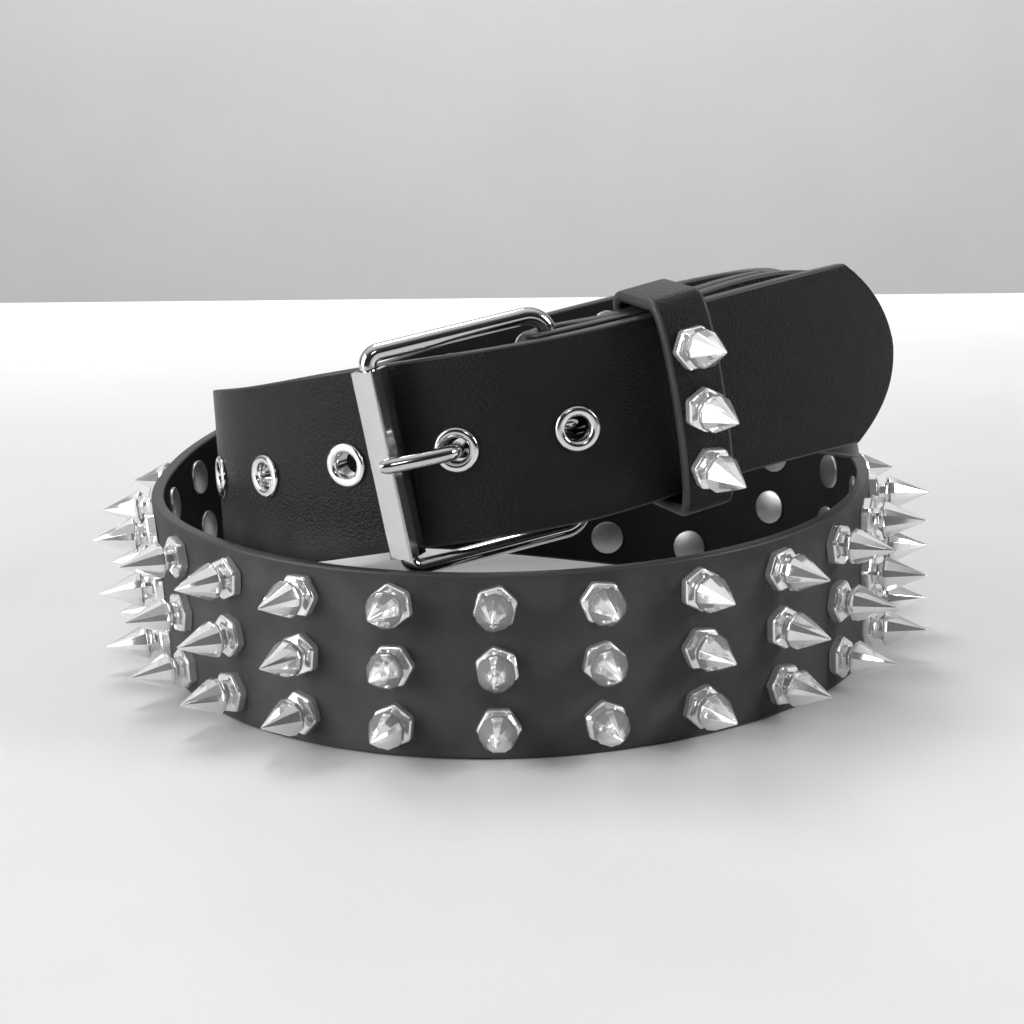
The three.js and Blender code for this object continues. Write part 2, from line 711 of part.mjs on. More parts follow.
function keeperFace(up) {
  const outline = keeperOutline().slice(2 * (KEEPER_CORNER_STEPS + 1));
  const i = outline.findIndex((point) => point[0] <= up);
  const [upA, outA] = outline[i - 1];
  const [upB, outB] = outline[i];
  const out = THREE.MathUtils.mapLinear(up, upA, upB, outA, outB);
  return { out, tilt: Math.atan2(outB - outA, upA - upB) };
}

function keeperRings() {
  const outline = keeperOutline();
  const count = outline.length;
  return outline.map(([up, out], i) => {
    const [upA, outA] = outline.at(i - 1);
    const [upB, outB] = outline[(i + 1) % count];
    const run = Math.hypot(upB - upA, outB - outA);
    const acrossUp = (outB - outA) / run;
    const acrossOut = -(upB - upA) / run;
    const corner = (side, depth) =>
      inFrame(
        keeperFrame,
        (side * KEEPER_WIDTH) / 2,
        up + (depth * acrossUp * KEEPER_THICKNESS) / 2,
        out + (depth * acrossOut * KEEPER_THICKNESS) / 2,
      );
    return [corner(-1, -1), corner(1, -1), corner(1, 1), corner(-1, 1)];
  });
}

function buildKeeper() {
  let keeper = solidOf(loft(keeperRings(), true));
  const geometry = spikeGeometry(KEEPER_THICKNESS);
  const hole = cylinder(POST_RADIUS + FIT_GAP, -KEEPER_THICKNESS, KEEPER_THICKNESS, POST_SIDES);
  for (let row = 0; row < ROW_COUNT; row += 1) {
    const up = ((ROW_COUNT - 1) / 2 - row) * ROW_PITCH;
    const face = keeperFace(up);
    const matrix = seat(keeperFrame, up, face.out);
    matrix.multiply(new THREE.Matrix4().makeRotationX(-face.tilt));
    matrix.multiply(new THREE.Matrix4().makeRotationZ(THREE.MathUtils.degToRad(row * TWIST_BY_ROW)));
    keeper = keeper.subtract(solidOf(placed(hole, matrix)));
    addMesh(`keeper_spike_${row + 1}`, geometry, CHROME, matrix);
  }
  addMesh("keeper", geometryOf(keeper), LEATHER);
}

const spikes = spikePlaces();
const plane = bucklePlane();
buildStrap(spikes);
buildSpikes(spikes);
buildEyelets();
buildFrame(plane);
buildRoller(plane);
buildProng();
buildKeeper();

// Centre the coil over the origin, with its lowest edge on the floor.
const box = new THREE.Box3().setFromObject(belt, true);
const middle = box.getCenter(new THREE.Vector3());
belt.position.set(-middle.x, -middle.y, -box.min.z);

export default belt;
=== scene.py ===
"""A studded leather belt, buckled and coiled in two turns, dressed over its CAD frame.

The belt lies in the part's frame: +Z up, the buckle facing -Y, the tip towards +X. Sizes are in
millimetres and are turned to metres when a mesh is made. The strap's route, the rows of spikes and
the buckle's places follow the same formulas as the part's source.
"""
import logging
from collections.abc import Callable
from dataclasses import dataclass, field
from enum import Enum
from math import cos, pi, radians, sin

import bmesh
import bpy
import numpy as np
from mathutils import Matrix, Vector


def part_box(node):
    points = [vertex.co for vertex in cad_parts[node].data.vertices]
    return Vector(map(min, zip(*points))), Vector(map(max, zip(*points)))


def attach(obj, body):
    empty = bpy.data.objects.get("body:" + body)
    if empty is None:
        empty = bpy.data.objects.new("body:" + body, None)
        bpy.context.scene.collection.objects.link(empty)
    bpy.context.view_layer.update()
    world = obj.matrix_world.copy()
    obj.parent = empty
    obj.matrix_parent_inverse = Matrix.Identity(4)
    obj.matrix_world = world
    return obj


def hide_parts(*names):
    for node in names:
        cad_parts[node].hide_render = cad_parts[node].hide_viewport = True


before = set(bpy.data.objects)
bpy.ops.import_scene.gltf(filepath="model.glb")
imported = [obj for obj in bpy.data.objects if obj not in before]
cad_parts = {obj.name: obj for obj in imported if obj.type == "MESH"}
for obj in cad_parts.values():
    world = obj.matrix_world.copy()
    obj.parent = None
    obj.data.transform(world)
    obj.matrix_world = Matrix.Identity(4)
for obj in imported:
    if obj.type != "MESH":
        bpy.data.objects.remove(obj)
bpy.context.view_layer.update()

LOG = logging.getLogger("belt")
MM = 0.001
SAME_PLACE_M = 1e-6
ROOT = "root"
SOFT_EDGE_DEGREES = 24
SPIKE_SHARP_DEGREES = 22
EYELET_SHARP_DEGREES = 40
ROLLER_SHARP_DEGREES = 4
KEEPER_SHARP_DEGREES = 50
Array = np.ndarray
Given = dict | None
Stops = list[tuple[float, tuple]]


class Slot(Enum):
    """The record's material slots."""

    STRAP = "strap_leather"
    KEEPER = "keeper_leather"
    SPIKE = "spike_metal"
    EYELET = "eyelet_metal"
    BUCKLE = "buckle_metal"


# Shader writing


class Value:
    """A socket that numbers and other sockets can be added to, multiplied by and so on."""

    def __init__(self, shader: "Shader", socket: bpy.types.NodeSocket) -> None:
        """Keeps the socket and the shader that it belongs to."""
        self.shader = shader
        self.socket = socket

    def __add__(self, other: "Value | float") -> "Value":
        """The sum."""
        return self.shader.maths("ADD", self, other)

    def __radd__(self, other: float) -> "Value":
        """The sum, with the number first."""
        return self.shader.maths("ADD", other, self)

    def __sub__(self, other: "Value | float") -> "Value":
        """The difference."""
        return self.shader.maths("SUBTRACT", self, other)

    def __rsub__(self, other: float) -> "Value":
        """The difference, with the number first."""
        return self.shader.maths("SUBTRACT", other, self)

    def __mul__(self, other: "Value | float") -> "Value":
        """The product."""
        return self.shader.maths("MULTIPLY", self, other)

    def __rmul__(self, other: float) -> "Value":
        """The product, with the number first."""
        return self.shader.maths("MULTIPLY", other, self)


class Shader:
    """A node tree under construction, with one method that adds any node."""

    def __init__(self, owner: bpy.types.Material | bpy.types.World) -> None:
        """Empties an owner's node tree.

        Args:
            owner: The material or world.
        """
        owner.use_nodes = True
        self.owner = owner
        self.tree = owner.node_tree
        self.tree.nodes.clear()

    def node(self, kind: str, settings: Given = None, inputs: Given = None) -> bpy.types.Node:
        """Adds a node.

        Args:
            kind: The node's type.
            settings: Its own settings, set first. "stops" are a ramp's (place, colour) pairs.
            inputs: Values or links by socket name or number.

        Returns:
            The node.
        """
        made = self.tree.nodes.new(kind)
        for key, setting in (settings or {}).items():
            if key == "stops":
                self._set_stops(made.color_ramp.elements, setting)
            else:
                setattr(made, key, setting)
        for key, given in (inputs or {}).items():
            if isinstance(given, Value):
                self.tree.links.new(given.socket, made.inputs[key])
            else:
                made.inputs[key].default_value = given
        return made

    @staticmethod
    def _set_stops(elements: bpy.types.bpy_prop_collection, stops: Stops) -> None:
        """Gives a colour ramp its stops.

        Args:
            elements: The ramp's elements, of which a new one has two.
            stops: The (place, colour) pairs.
        """
        while len(elements) < len(stops):
            elements.new(0.5)
        for element, (place, colour) in zip(elements, stops):
            element.position = place
            element.color = colour

    def value(
        self, kind: str, output: str | int, settings: Given = None, inputs: Given = None
    ) -> Value:
        """Adds a node and gives one of its outputs."""
        return Value(self, self.node(kind, settings, inputs).outputs[output])

    def maths(self, operation: str, first: "Value | float", second: "Value | float") -> Value:
        """Adds a Math node.

        Args:
            operation: The node's operation.
            first: The first number.
            second: The second number.

        Returns:
            The result.
        """
        settings = {"operation": operation}
        return self.value("ShaderNodeMath", "Value", settings, {0: first, 1: second})

    def place(self) -> Value:
        """The point's place on the object."""
        return self.value("ShaderNodeTexCoord", "Object")

    def over(self, place: Value, low_mm: float, high_mm: float) -> Value:
        """How far a point's height lies between two heights, easing at both ends.

        Args:
            place: The point.
            low_mm: The height at which the result is 0.
            high_mm: The height at which it is 1.

        Returns:
            The share.
        """
        height = self.value("ShaderNodeSeparateXYZ", "Z", None, {0: place})
        settings = {"interpolation_type": "SMOOTHSTEP"}
        inputs = {"Value": height, "From Min": low_mm * MM, "From Max": high_mm * MM}
        return self.value("ShaderNodeMapRange", "Result", settings, inputs)

    def mix(self, factor: Value, first: Value, second: Value) -> Value:
        """The first colour turning into the second as the factor goes from 0 to 1."""
        inputs = {0: factor, 6: first, 7: second}
        return self.value("ShaderNodeMix", 2, {"data_type": "RGBA"}, inputs)

    def noise(self, place: Value, size_mm: float, detail: float = 3.0, rough: float = 0.5) -> Value:
        """Soft noise whose blotches are about size_mm across."""
        scale = 1 / (size_mm * MM)
        inputs = {"Vector": place, "Scale": scale, "Detail": detail, "Roughness": rough}
        return self.value("ShaderNodeTexNoise", "Fac", None, inputs)

    def pebbles(self, place: Value, size_mm: float) -> Value:
        """Rounded cells about size_mm across, high in their middles."""
        inputs = {"Vector": place, "Scale": 1 / (size_mm * MM), "Smoothness": 0.6}
        settings = {"feature": "SMOOTH_F1"}
        return 1.0 - self.value("ShaderNodeTexVoronoi", "Distance", settings, inputs)

    def ramp(self, factor: Value, stops: Stops) -> Value:
        """Colours along a factor."""
        return self.value("ShaderNodeValToRGB", "Color", {"stops": stops}, {"Fac": factor})

    def bump(self, height: Value, depth_mm: float, strength: float = 1.0) -> Value:
        """A normal from heights between 0 and 1."""
        inputs = {"Height": height, "Distance": depth_mm * MM, "Strength": strength}
        return self.value("ShaderNodeBump", "Normal", None, inputs)

    def finish(self, inputs: dict) -> bpy.types.Material:
        """Ends in a Principled shader.

        Args:
            inputs: Its sockets' values and links.

        Returns:
            The material.
        """
        surface = self.value("ShaderNodeBsdfPrincipled", "BSDF", None, inputs)
        self.node("ShaderNodeOutputMaterial", None, {"Surface": surface})
        return self.owner


def grey(level: float, warmth: float = 0.0) -> tuple[float, float, float, float]:
    """A grey with a little red added and blue taken away."""
    return (level * (1 + warmth), level, level * (1 - warmth), 1.0)


@dataclass(frozen=True)
class LeatherFinish:
    """Black leather with a pressed pebble grain."""

    name: str
    dark: float
    pale: float
    rough_low: float
    rough_high: float
    grain_mm: float
    relief_mm: float
    specular: float
    # How many times paler the lower turn's colour is: painted sheen, light painted into the base
    # colour.
    lower_turn_painted_sheen: float = 1.0
    low_relief: float = 1.0
    low_rough: float = 0.0
    turn_height_mm: tuple[float, float] = (34.0, 50.0)
    fine_share: float = 0.35
    blotch_share: float = 26.0
    blotch_from: float = 0.3
    blotch_to: float = 0.72

    def material(self) -> bpy.types.Material:
        """Makes the leather: pebbles and fine noise for relief, blotches for colour and gloss.

        The lower turn may be smoother and duller than what lies above it, and paler in colour: that
        paler colour is painted sheen, light painted into its base colour.

        Returns:
            The material.
        """
        shader = Shader(bpy.data.materials.new(self.name))
        place = shader.place()
        pebble = shader.pebbles(place, self.grain_mm)
        fine = shader.noise(place, self.grain_mm * self.fine_share, 2.0, 0.6)
        wide = shader.noise(place, self.grain_mm * self.blotch_share, 3.0, 0.55)
        is_upper = shader.over(place, *self.turn_height_mm)
        relief = self.low_relief + is_upper * (1 - self.low_relief)
        upper = shader.ramp(wide, self._stops(1.0))
        # The lower turn's paler ramp is painted sheen, standing in for the light that the lower
        # turn catches.
        lower = shader.ramp(wide, self._stops(self.lower_turn_painted_sheen))
        spread = self.rough_high - self.rough_low
        rough = self.rough_low + (wide * 0.55 + fine * 0.45) * spread
        return shader.finish(
            {
                "Base Color": shader.mix(is_upper, lower, upper),
                "Roughness": rough + (1 - is_upper) * self.low_rough,
                "Specular IOR Level": self.specular,
                "Normal": shader.bump((pebble * 0.6 + fine * 0.4) * relief, self.relief_mm),
            }
        )

    def _stops(self, times: float) -> Stops:
        """The blotches' colours, a number of times as bright."""
        dark, pale = grey(self.dark * times), grey(self.pale * times)
        return [(self.blotch_from, dark), (self.blotch_to, pale)]


@dataclass(frozen=True)
class MetalFinish:
    """Plated metal, a little wavy, with faint smudges."""

    name: str
    level: float
    rough_low: float
    rough_high: float
    wave_mm: float
    relief_mm: float
    warmth: float = 0.0
    metallic: float = 1.0
    smudge_share: float = 2.3
    smudge_level: float = 0.86

    def material(self) -> bpy.types.Material:
        """Makes the plating: slow waves for relief, smudges for gloss and colour.

        Returns:
            The material.
        """
        shader = Shader(bpy.data.materials.new(self.name))
        place = shader.place()
        wave = shader.noise(place, self.wave_mm, 2.0, 0.5)
        smudge = shader.noise(place, self.wave_mm * self.smudge_share, 4.0, 0.6)
        dull = grey(self.level * self.smudge_level, self.warmth)
        shade = [(0.25, dull), (0.7, grey(self.level, self.warmth))]
        return shader.finish(
            {
                "Base Color": shader.ramp(smudge, shade),
                "Metallic": self.metallic,
                "Roughness": self.rough_low + smudge * (self.rough_high - self.rough_low),
                "Normal": shader.bump(wave, self.relief_mm),
            }
        )


@dataclass(frozen=True)
class GroundFinish:
    """A pale studio surface with fine specks."""

    name: str
    level: float
    rough: float
    speck_mm: float
    relief_mm: float
    cloud_share: float = 40.0
    cloud_level: float = 0.95
    warmth: float = -0.006

    def material(self) -> bpy.types.Material:
        """Makes the surface: specks and slow clouds in its colour, a faint relief.

        Returns:
            The material.
        """
        shader = Shader(bpy.data.materials.new(self.name))
        place = shader.place()
        speck = shader.noise(place, self.speck_mm, 4.0, 0.7)
        cloud = shader.noise(place, self.speck_mm * self.cloud_share, 3.0, 0.5)
        mixed = speck * 0.5 + cloud * 0.5
        cloudy = grey(self.level * self.cloud_level, self.warmth)
        stops = [(0.36, cloudy), (0.64, grey(self.level, self.warmth))]
        return shader.finish(
            {
                "Base Color": shader.ramp(mixed, stops),
                "Roughness": self.rough + speck * 0.12,
                "Normal": shader.bump(speck, self.relief_mm),
            }
        )


# The strap face's lower turn is painted fourteen times paler: painted sheen in its base colour.
STRAP_FACE = LeatherFinish(
    "black_grain_leather", 0.003, 0.0055, 0.26, 0.4, 0.55, 0.32, 0.25,
    lower_turn_painted_sheen=14.0, low_relief=0.3, low_rough=0.3,
)
STRAP_BACK = LeatherFinish("black_leather_back", 0.012, 0.018, 0.62, 0.8, 0.5, 0.08, 0.12)
STRAP_EDGE = LeatherFinish("painted_strap_edge", 0.03, 0.05, 0.36, 0.55, 1.4, 0.06, 0.5)
SPIKE_PLATING = MetalFinish("bright_spike_plating", 0.95, 0.04, 0.14, 3.4, 0.03, metallic=0.74)
DISC_PLATING = MetalFinish("dull_disc_plating", 0.62, 0.28, 0.42, 2.0, 0.012)
EYELET_PLATING = MetalFinish("eyelet_plating", 0.84, 0.1, 0.22, 2.6, 0.012)
BUCKLE_PLATING = MetalFinish("buckle_plating", 0.68, 0.06, 0.16, 4.2, 0.03, warmth=0.006)
ROLLER_PLATING = MetalFinish("roller_plating", 0.54, 0.08, 0.2, 4.2, 0.03, warmth=0.006)
FLOOR_PAINT = GroundFinish("pale_floor", 0.77, 0.42, 1.4, 0.008)
WALL_PAINT = GroundFinish("pale_wall", 0.87, 0.7, 2.2, 0.03)


# Meshes


@dataclass
class Surface:
    """A grid of rings, carried along a path, that becomes a closed mesh."""

    rings: Array
    is_loop: bool = False
    finish_of: Array | None = None

    def arrays(self, start: int) -> tuple[Array, list[list[int]], Array]:
        """The mesh's corners and faces.

        Face (i, j) joins ring i to ring i + 1 between their points j and j + 1. An open row of
        rings is closed by its first and last ring as faces.

        Args:
            start: The number of the first corner.

        Returns:
            The corners, the faces, and the finish number of each face.
        """
        rows, count, _ = self.rings.shape
        bands = rows if self.is_loop else rows - 1
        i, j = np.meshgrid(np.arange(bands), np.arange(count), indexing="ij")
        near, far, turn = i * count, (i + 1) % rows * count, (j + 1) % count
        quads = np.stack([near + j, near + turn, far + turn, far + j], axis=-1)
        faces = (quads.reshape(-1, 4) + start).tolist()
        finish = np.zeros(count, int) if self.finish_of is None else self.finish_of
        kinds = np.tile(finish, bands)
        if not self.is_loop:
            ring = np.arange(count) + start
            faces += [ring[::-1].tolist(), (ring + (rows - 1) * count).tolist()]
            kinds = np.append(kinds, [finish.max(), finish.max()])
        return self.rings.reshape(-1, 3), faces, kinds


def mesh_piece(
    name: str,
    surfaces: list[Surface],
    finishes: list[bpy.types.Material],
    sharp_degrees: float = 35.0,
) -> bpy.types.Object:
    """Joins closed surfaces, in millimetres, into one object at the origin.

    Args:
        name: The piece's name.
        surfaces: The closed surfaces.
        finishes: The materials that the surfaces' finish numbers stand for.
        sharp_degrees: The angle between faces from which an edge is sharp.

    Returns:
        The object, with its faces pointing outwards.
    """
    corners, faces, kinds, start = [], [], [], 0
    for surface in surfaces:
        points, made, kind = surface.arrays(start)
        corners.append(points)
        faces += made
        kinds.append(kind)
        start += len(points)
    mesh = bpy.data.meshes.new(name)
    mesh.from_pydata((np.concatenate(corners) * MM).tolist(), [], faces)
    mesh.polygons.foreach_set("material_index", np.concatenate(kinds).astype(np.int32))
    work = bmesh.new()
    work.from_mesh(mesh)
    bmesh.ops.remove_doubles(work, verts=work.verts, dist=SAME_PLACE_M)
    bmesh.ops.dissolve_degenerate(work, edges=work.edges, dist=SAME_PLACE_M / 10)
    bmesh.ops.recalc_face_normals(work, faces=work.faces)
    work.to_mesh(mesh)
    work.free()
    mesh.polygons.foreach_set("use_smooth", np.ones(len(mesh.polygons), bool))
    mesh.set_sharp_from_angle(angle=radians(sharp_degrees))
    for finish in finishes:
        mesh.materials.append(finish)
    made_object = bpy.data.objects.new(name, mesh)
    bpy.context.scene.collection.objects.link(made_object)
    return made_object


def soften(piece: bpy.types.Object, width_mm: float, segments: int = 2) -> None:
    """Rounds a piece's sharp edges a little.

    Args:
        piece: The piece.
        width_mm: The rounding's width.
        segments: Its number of steps.
    """
    bevel = piece.modifiers.new("worn_edges", "BEVEL")
    bevel.width = width_mm * MM
    bevel.segments = segments
    bevel.limit_method = "ANGLE"
    bevel.angle_limit = radians(SOFT_EDGE_DEGREES)


def declare(piece: bpy.types.Object, slot: Slot, *nodes: str) -> None:
    """Puts a piece on the belt's one body.

    Args:
        piece: The piece.
        slot: Its material slot, which is not used.
        nodes: The CAD nodes that it stands for.
    """
    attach(piece, ROOT)
    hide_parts(*nodes)
    LOG.info("%s stands for %s", piece.name, ", ".join(nodes))


def unit(vectors: Array) -> Array:
    """The vectors at length 1."""
    return vectors / np.linalg.norm(vectors, axis=-1, keepdims=True)


def ring_of(sides: int, phase: float = 0.0) -> Array:
    """The angles of a ring's points, in radians."""
    return 2 * pi * (np.arange(sides) + phase) / sides


def revolve(profile: Array, sides: int) -> Array:
    """Turns a profile about Z: (r cos a, r sin a, h).

    Args:
        profile: Rows of (radius, height).
        sides: The number of points round it.

    Returns:
        A ring for each row.
    """
    angle = ring_of(sides)
    radius, height = profile[:, :1], profile[:, 1:]
    flat = np.broadcast_to(height, (len(profile), sides))
    return np.stack([radius * np.cos(angle), radius * np.sin(angle), flat], axis=-1)


def hexagon(profile: Array) -> Array:
    """Turns a profile into a hexagon whose corners are cut off by narrow facets.

    A point at angle t from its side's middle lies at radius a / cos t, with a = r cos 30 the
    distance of the side. The points stand the cut's degrees either side of each corner.

    Args:
        profile: Rows of (corner radius, height, cut).

    Returns:
        A ring of twelve points for each row.
    """
    radius, height, cut = profile[:, 0:1], profile[:, 1:2], np.radians(profile[:, 2:3])
    angle = np.repeat(radians(60) * np.arange(6), 2) + cut * np.tile([-1, 1], 6)
    radius = radius * cos(radians(30)) / np.cos(radians(30) - cut)
    flat = np.broadcast_to(height, angle.shape)
    return np.stack([radius * np.cos(angle), radius * np.sin(angle), flat], axis=-1)


def sweep(
    points: Array, side: Array, radii: Array | float, sides: int, is_loop: bool = False
) -> Array:
    """Carries a circle along points: p + r (s cos a + o sin a), with o across the path and s.

    Args:
        points: The path.
        side: The direction s, one for all points or one for each.
        radii: The rod's radius, one for all points or one for each.
        sides: The number of points round it.
        is_loop: Whether the path is closed.

    Returns:
        A ring for each point of the path.
    """
    before = np.roll(points, 1, axis=0) if is_loop else np.concatenate([points[:1], points[:-1]])
    after = np.roll(points, -1, axis=0) if is_loop else np.concatenate([points[1:], points[-1:]])
    other = unit(np.cross(after - before, side))
    angle = ring_of(sides, 0.5)[None, :, None]
    radius = np.broadcast_to(np.asarray(radii, float), (len(points),))[:, None, None]
    return points[:, None] + radius * (side * np.cos(angle) + other[:, None] * np.sin(angle))


def resample(points: Array, step: float) -> Array:
    """Draws a smooth line through points.

    Args:
        points: The points.
        step: About how far apart the line's own points are.

    Returns:
        The line's points.
    """
    run = np.append(0.0, np.cumsum(np.linalg.norm(np.diff(points, axis=0), axis=1)))
    places = np.linspace(0, run[-1], max(int(run[-1] / step), 2))
    return np.stack([natural_spline(run, points[:, k])(places) for k in range(3)], axis=-1)


def natural_spline(xs: Array, ys: Array) -> Callable[[Array], Array]:
    """A natural cubic spline through the points.

    Between x0 and x1, h apart, with a = (x1 - x) / h and b = 1 - a, the value is
    a y0 + b y1 + ((a^3 - a) m0 + (b^3 - b) m1) h^2 / 6, m being the second derivatives.

    Args:
        xs: The points' places, rising.
        ys: Their values.

    Returns:
        The spline, as a function of places.
    """
    count = len(xs)
    gap = np.diff(xs)
    slope = np.diff(ys) / gap
    matrix = np.eye(count)
    right = np.zeros(count)
    inner = np.arange(1, count - 1)
    matrix[inner, inner - 1] = gap[:-1]
    matrix[inner, inner] = 2 * (gap[:-1] + gap[1:])
    matrix[inner, inner + 1] = gap[1:]
    right[inner] = 6 * np.diff(slope)
    bend = np.linalg.solve(matrix, right)

    def at(places: Array) -> Array:
        """Reads the spline.

        Args:
            places: Where.

        Returns:
            Its value at each place.
        """
        i = np.clip(np.searchsorted(xs, places, side="left") - 1, 0, count - 2)
        a = (xs[i + 1] - places) / gap[i]
        b = 1 - a
        curve = (a**3 - a) * bend[i] + (b**3 - b) * bend[i + 1]
        return a * ys[i] + b * ys[i + 1] + curve * gap[i] ** 2 / 6

    return at


# The coil


@dataclass
class Frames:
    """Places on the strap: points, and the directions along it, up its width and out of it."""

    point: Array
    along: Array
    up: Array
    out: Array

    def at(self, along: Array | float, up: Array | float, out: Array | float) -> Array:
        """Points that far along, up and out of each place."""
        parts = [np.asarray(x, float)[..., None] for x in (along, up, out)]
        return self.point + parts[0] * self.along + parts[1] * self.up + parts[2] * self.out

    def one(self) -> "Frames":
        """The first place alone."""
        return Frames(self.point[0], self.along[0], self.up[0], self.out[0])

    def carry(self, points: Array) -> Array:
        """Points given along, up and out, carried into a single place."""
        return self.point + points @ np.stack([self.along, self.up, self.out])


@dataclass
class Coil:
    """The strap's route, and how lengths along it go with turns round the coil."""

    strap_width: float = 40.0
    thickness: float = 3.0
    half_width: float = 82.5
    half_depth: float = 66.0
    lap_gap: float = 1.9
    full_turn: float = 360.0
    slope_step: float = 0.25
    lap_slope_step: float = 0.5
    lap_turns: tuple[float, ...] = (0.0, 20.0, 40.0, 58.0)
    # Each row: turn in degrees, reach as a share of the half sizes, lift as a share of the strap's
    # width, and lean in degrees.
    rows: tuple[tuple[float, float, float, float], ...] = (
        (70, 0.93, 1.8, 3),
        (85, 0.943, 1.67, 6),
        (100, 0.955, 1.59, 9),
        (120, 1.03, 1.545, 11),
        (135, 1.2, 1.5, 12),
        (150, 1.36, 1.36, 8),
        (180, 1.4, 0.988, 0),
        (215, 1.264, 0.635, -6),
        (245, 1.06, 0.525, -5),
        (270, 0.971, 0.502, -3),
        (300, 0.941, 0.5, 0),
        (330, 1.0, 0.5, 3),
        (360, 1.052, 0.5, 3.5),
        (390, 1.026, 0.5, 0.5),
        (420, 0.987, 0.5, 1),
        (450, 1.005, 0.5, 0),
        (480, 1.097, 0.5, -5),
        (510, 1.097, 0.51, -14),
        (545, 0.947, 0.69, 0),
        (580, 0.842, 0.885, -3),
        (615, 0.793, 1.06, -2),
        (640, 0.785, 1.19, 0),
        (670, 0.799, 1.35, 3),
        (700, 0.858, 1.545, 2),
        (730, 0.885, 1.69, 5),
        (755, 0.87, 1.8, 0),
        (784, 0.982, 1.875, 5),
        (798, 1.073, 1.872, 9),
    )
    shift: Array = field(default_factory=lambda: np.zeros(3))

    def __post_init__(self) -> None:
        """Works out the splines and the lengths at whole degrees."""
        table = np.array(self.rows, float)
        self._set_splines(table)
        self._set_splines(np.concatenate([self._lap_rows(), table]))
        self.tip_turn = table[-1, 0]
        degrees = np.arange(self.tip_turn + 1)
        steps = np.linalg.norm(np.diff(self.points(degrees), axis=0), axis=1)
        self.degrees = degrees
        self.lengths = np.append(0.0, np.cumsum(steps))
        self.length = self.lengths[-1]

    def _set_splines(self, table: Array) -> None:
        """Fits reach, lift and lean over turns."""
        turn = table[:, 0]
        self.reach, self.lift, self.lean = (natural_spline(turn, table[:, k]) for k in (1, 2, 3))

    def _lap_rows(self) -> Array:
        """Works out the first stretch, which follows the tail one lap further in.

        Returns:
            Rows of turn, reach, lift and lean.
        """
        turn = np.array(self.lap_turns)
        above = turn + 2 * self.full_turn
        along = self.points(above + self.lap_slope_step) - self.points(above - self.lap_slope_step)
        out = unit(np.stack([along[:, 1], -along[:, 0]], axis=-1))
        angle = np.radians(turn)
        ray = np.stack([self.half_width * np.sin(angle), -self.half_depth * np.cos(angle)], axis=-1)
        lap = self.thickness + self.lap_gap
        reach = self.reach(above) - lap / np.sum(ray * out, axis=1)
        return np.stack([turn, reach, self.lift(above), self.lean(above)], axis=-1)

    def points(self, turn: Array) -> Array:
        """The middle line: (W r sin t, -D r cos t, width times lift).

        Args:
            turn: The turns t, in degrees.

        Returns:
            A point for each turn.
        """
        angle, reach = np.radians(turn), self.reach(turn)
        x = self.half_width * reach * np.sin(angle)
        y = -self.half_depth * reach * np.cos(angle)
        return np.stack([x, y, self.strap_width * self.lift(turn)], axis=-1)

    def at_turn(self, turn: Array | float) -> Frames:
        """The places at some turns, where up leans from the level outward direction.

        Args:
            turn: The turns, in degrees.

        Returns:
            A place for each turn.
        """
        turn = np.atleast_1d(np.asarray(turn, float))
        along = unit(self.points(turn + self.slope_step) - self.points(turn - self.slope_step))
        level = unit(np.stack([along[:, 1], -along[:, 0], np.zeros(len(turn))], axis=-1))
        lean = np.radians(self.lean(turn))[:, None]
        up = unit(np.cross(level, along) * np.cos(lean) - level * np.sin(lean))
        return Frames(self.points(turn) + self.shift, along, up, np.cross(along, up))

    def at(self, length: Array | float) -> Frames:
        """The places at these lengths along the strap."""
        return self.at_turn(self.turn_at(length))

    def turn_at(self, length: Array | float) -> Array:
        """Turns lengths along the strap into turns, going on evenly past the ends.

        Args:
            length: The lengths.

        Returns:
            A turn for each length.
        """
        length = np.atleast_1d(np.asarray(length, float))
        inside = np.interp(length, self.lengths, self.degrees)
        end_rate = self.lengths[-1] - self.lengths[-2]
        start_rate = self.lengths[1]
        past = np.maximum(length - self.length, 0) / end_rate
        return inside + past + np.minimum(length, 0) / start_rate

    def length_at(self, turn: float) -> float:
        """The length at a turn, going on evenly before the start.

        Args:
            turn: The turn, in degrees.

        Returns:
            The length.
        """
        if turn < 0:
            return turn * self.lengths[1]
        return float(np.interp(turn, self.degrees, self.lengths))


@dataclass
class Layout:
    """Where the buckle, the eyelets and the spikes sit along the strap."""

    coil: Coil
    eyelet_from_tip: float = 84.6
    eyelet_pitch: float = 25.4
    eyelet_count: int = 6
    prong_eyelet: int = 1
    frame_depth: float = 38.5
    rod_radius: float = 1.9
    roller_radius: float = 4.0
    roller_stand_off: float = 0.5
    fit_gap: float = 0.3
    seat_gap: float = 0.3

    def __post_init__(self) -> None:
        """Works out the places that more than one piece needs."""
        coil = self.coil
        half = coil.thickness / 2
        self.bar_length = coil.length - self.eyelet_from_tip
        self.tail_at_roller = coil.at(self.bar_length - self.frame_depth).one()
        bar_turn = float(coil.turn_at(self.bar_length)[0]) - 2 * coil.full_turn
        self.fold_start = coil.length_at(bar_turn)
        self.first_at_bar = coil.at_turn(bar_turn).one()
        self.fold_radius = self.rod_radius + self.fit_gap + half
        self.bar = self.first_at_bar.at(0, 0, -self.fold_radius)
        roller = self.tail_at_roller.at(0, 0, half + self.roller_stand_off + self.roller_radius)
        height = self.first_at_bar.up
        slide = np.dot(self.bar - roller, height) / 2
        self.front = roller + height * slide
        across = self.bar - height * slide - self.front
        self.height = height
        self.reach = float(np.linalg.norm(across))
        self.depth = across / self.reach
        self.normal = np.cross(self.depth, self.height)

    def eyelet(self, index: int) -> Frames:
        """The place of an eyelet, counted from the tip."""
        return self.coil.at(self.eyelet_length(index)).one()

    def eyelet_length(self, index: int) -> float:
        """How far along the strap an eyelet is."""
        return self.coil.length - self.eyelet_from_tip - index * self.eyelet_pitch


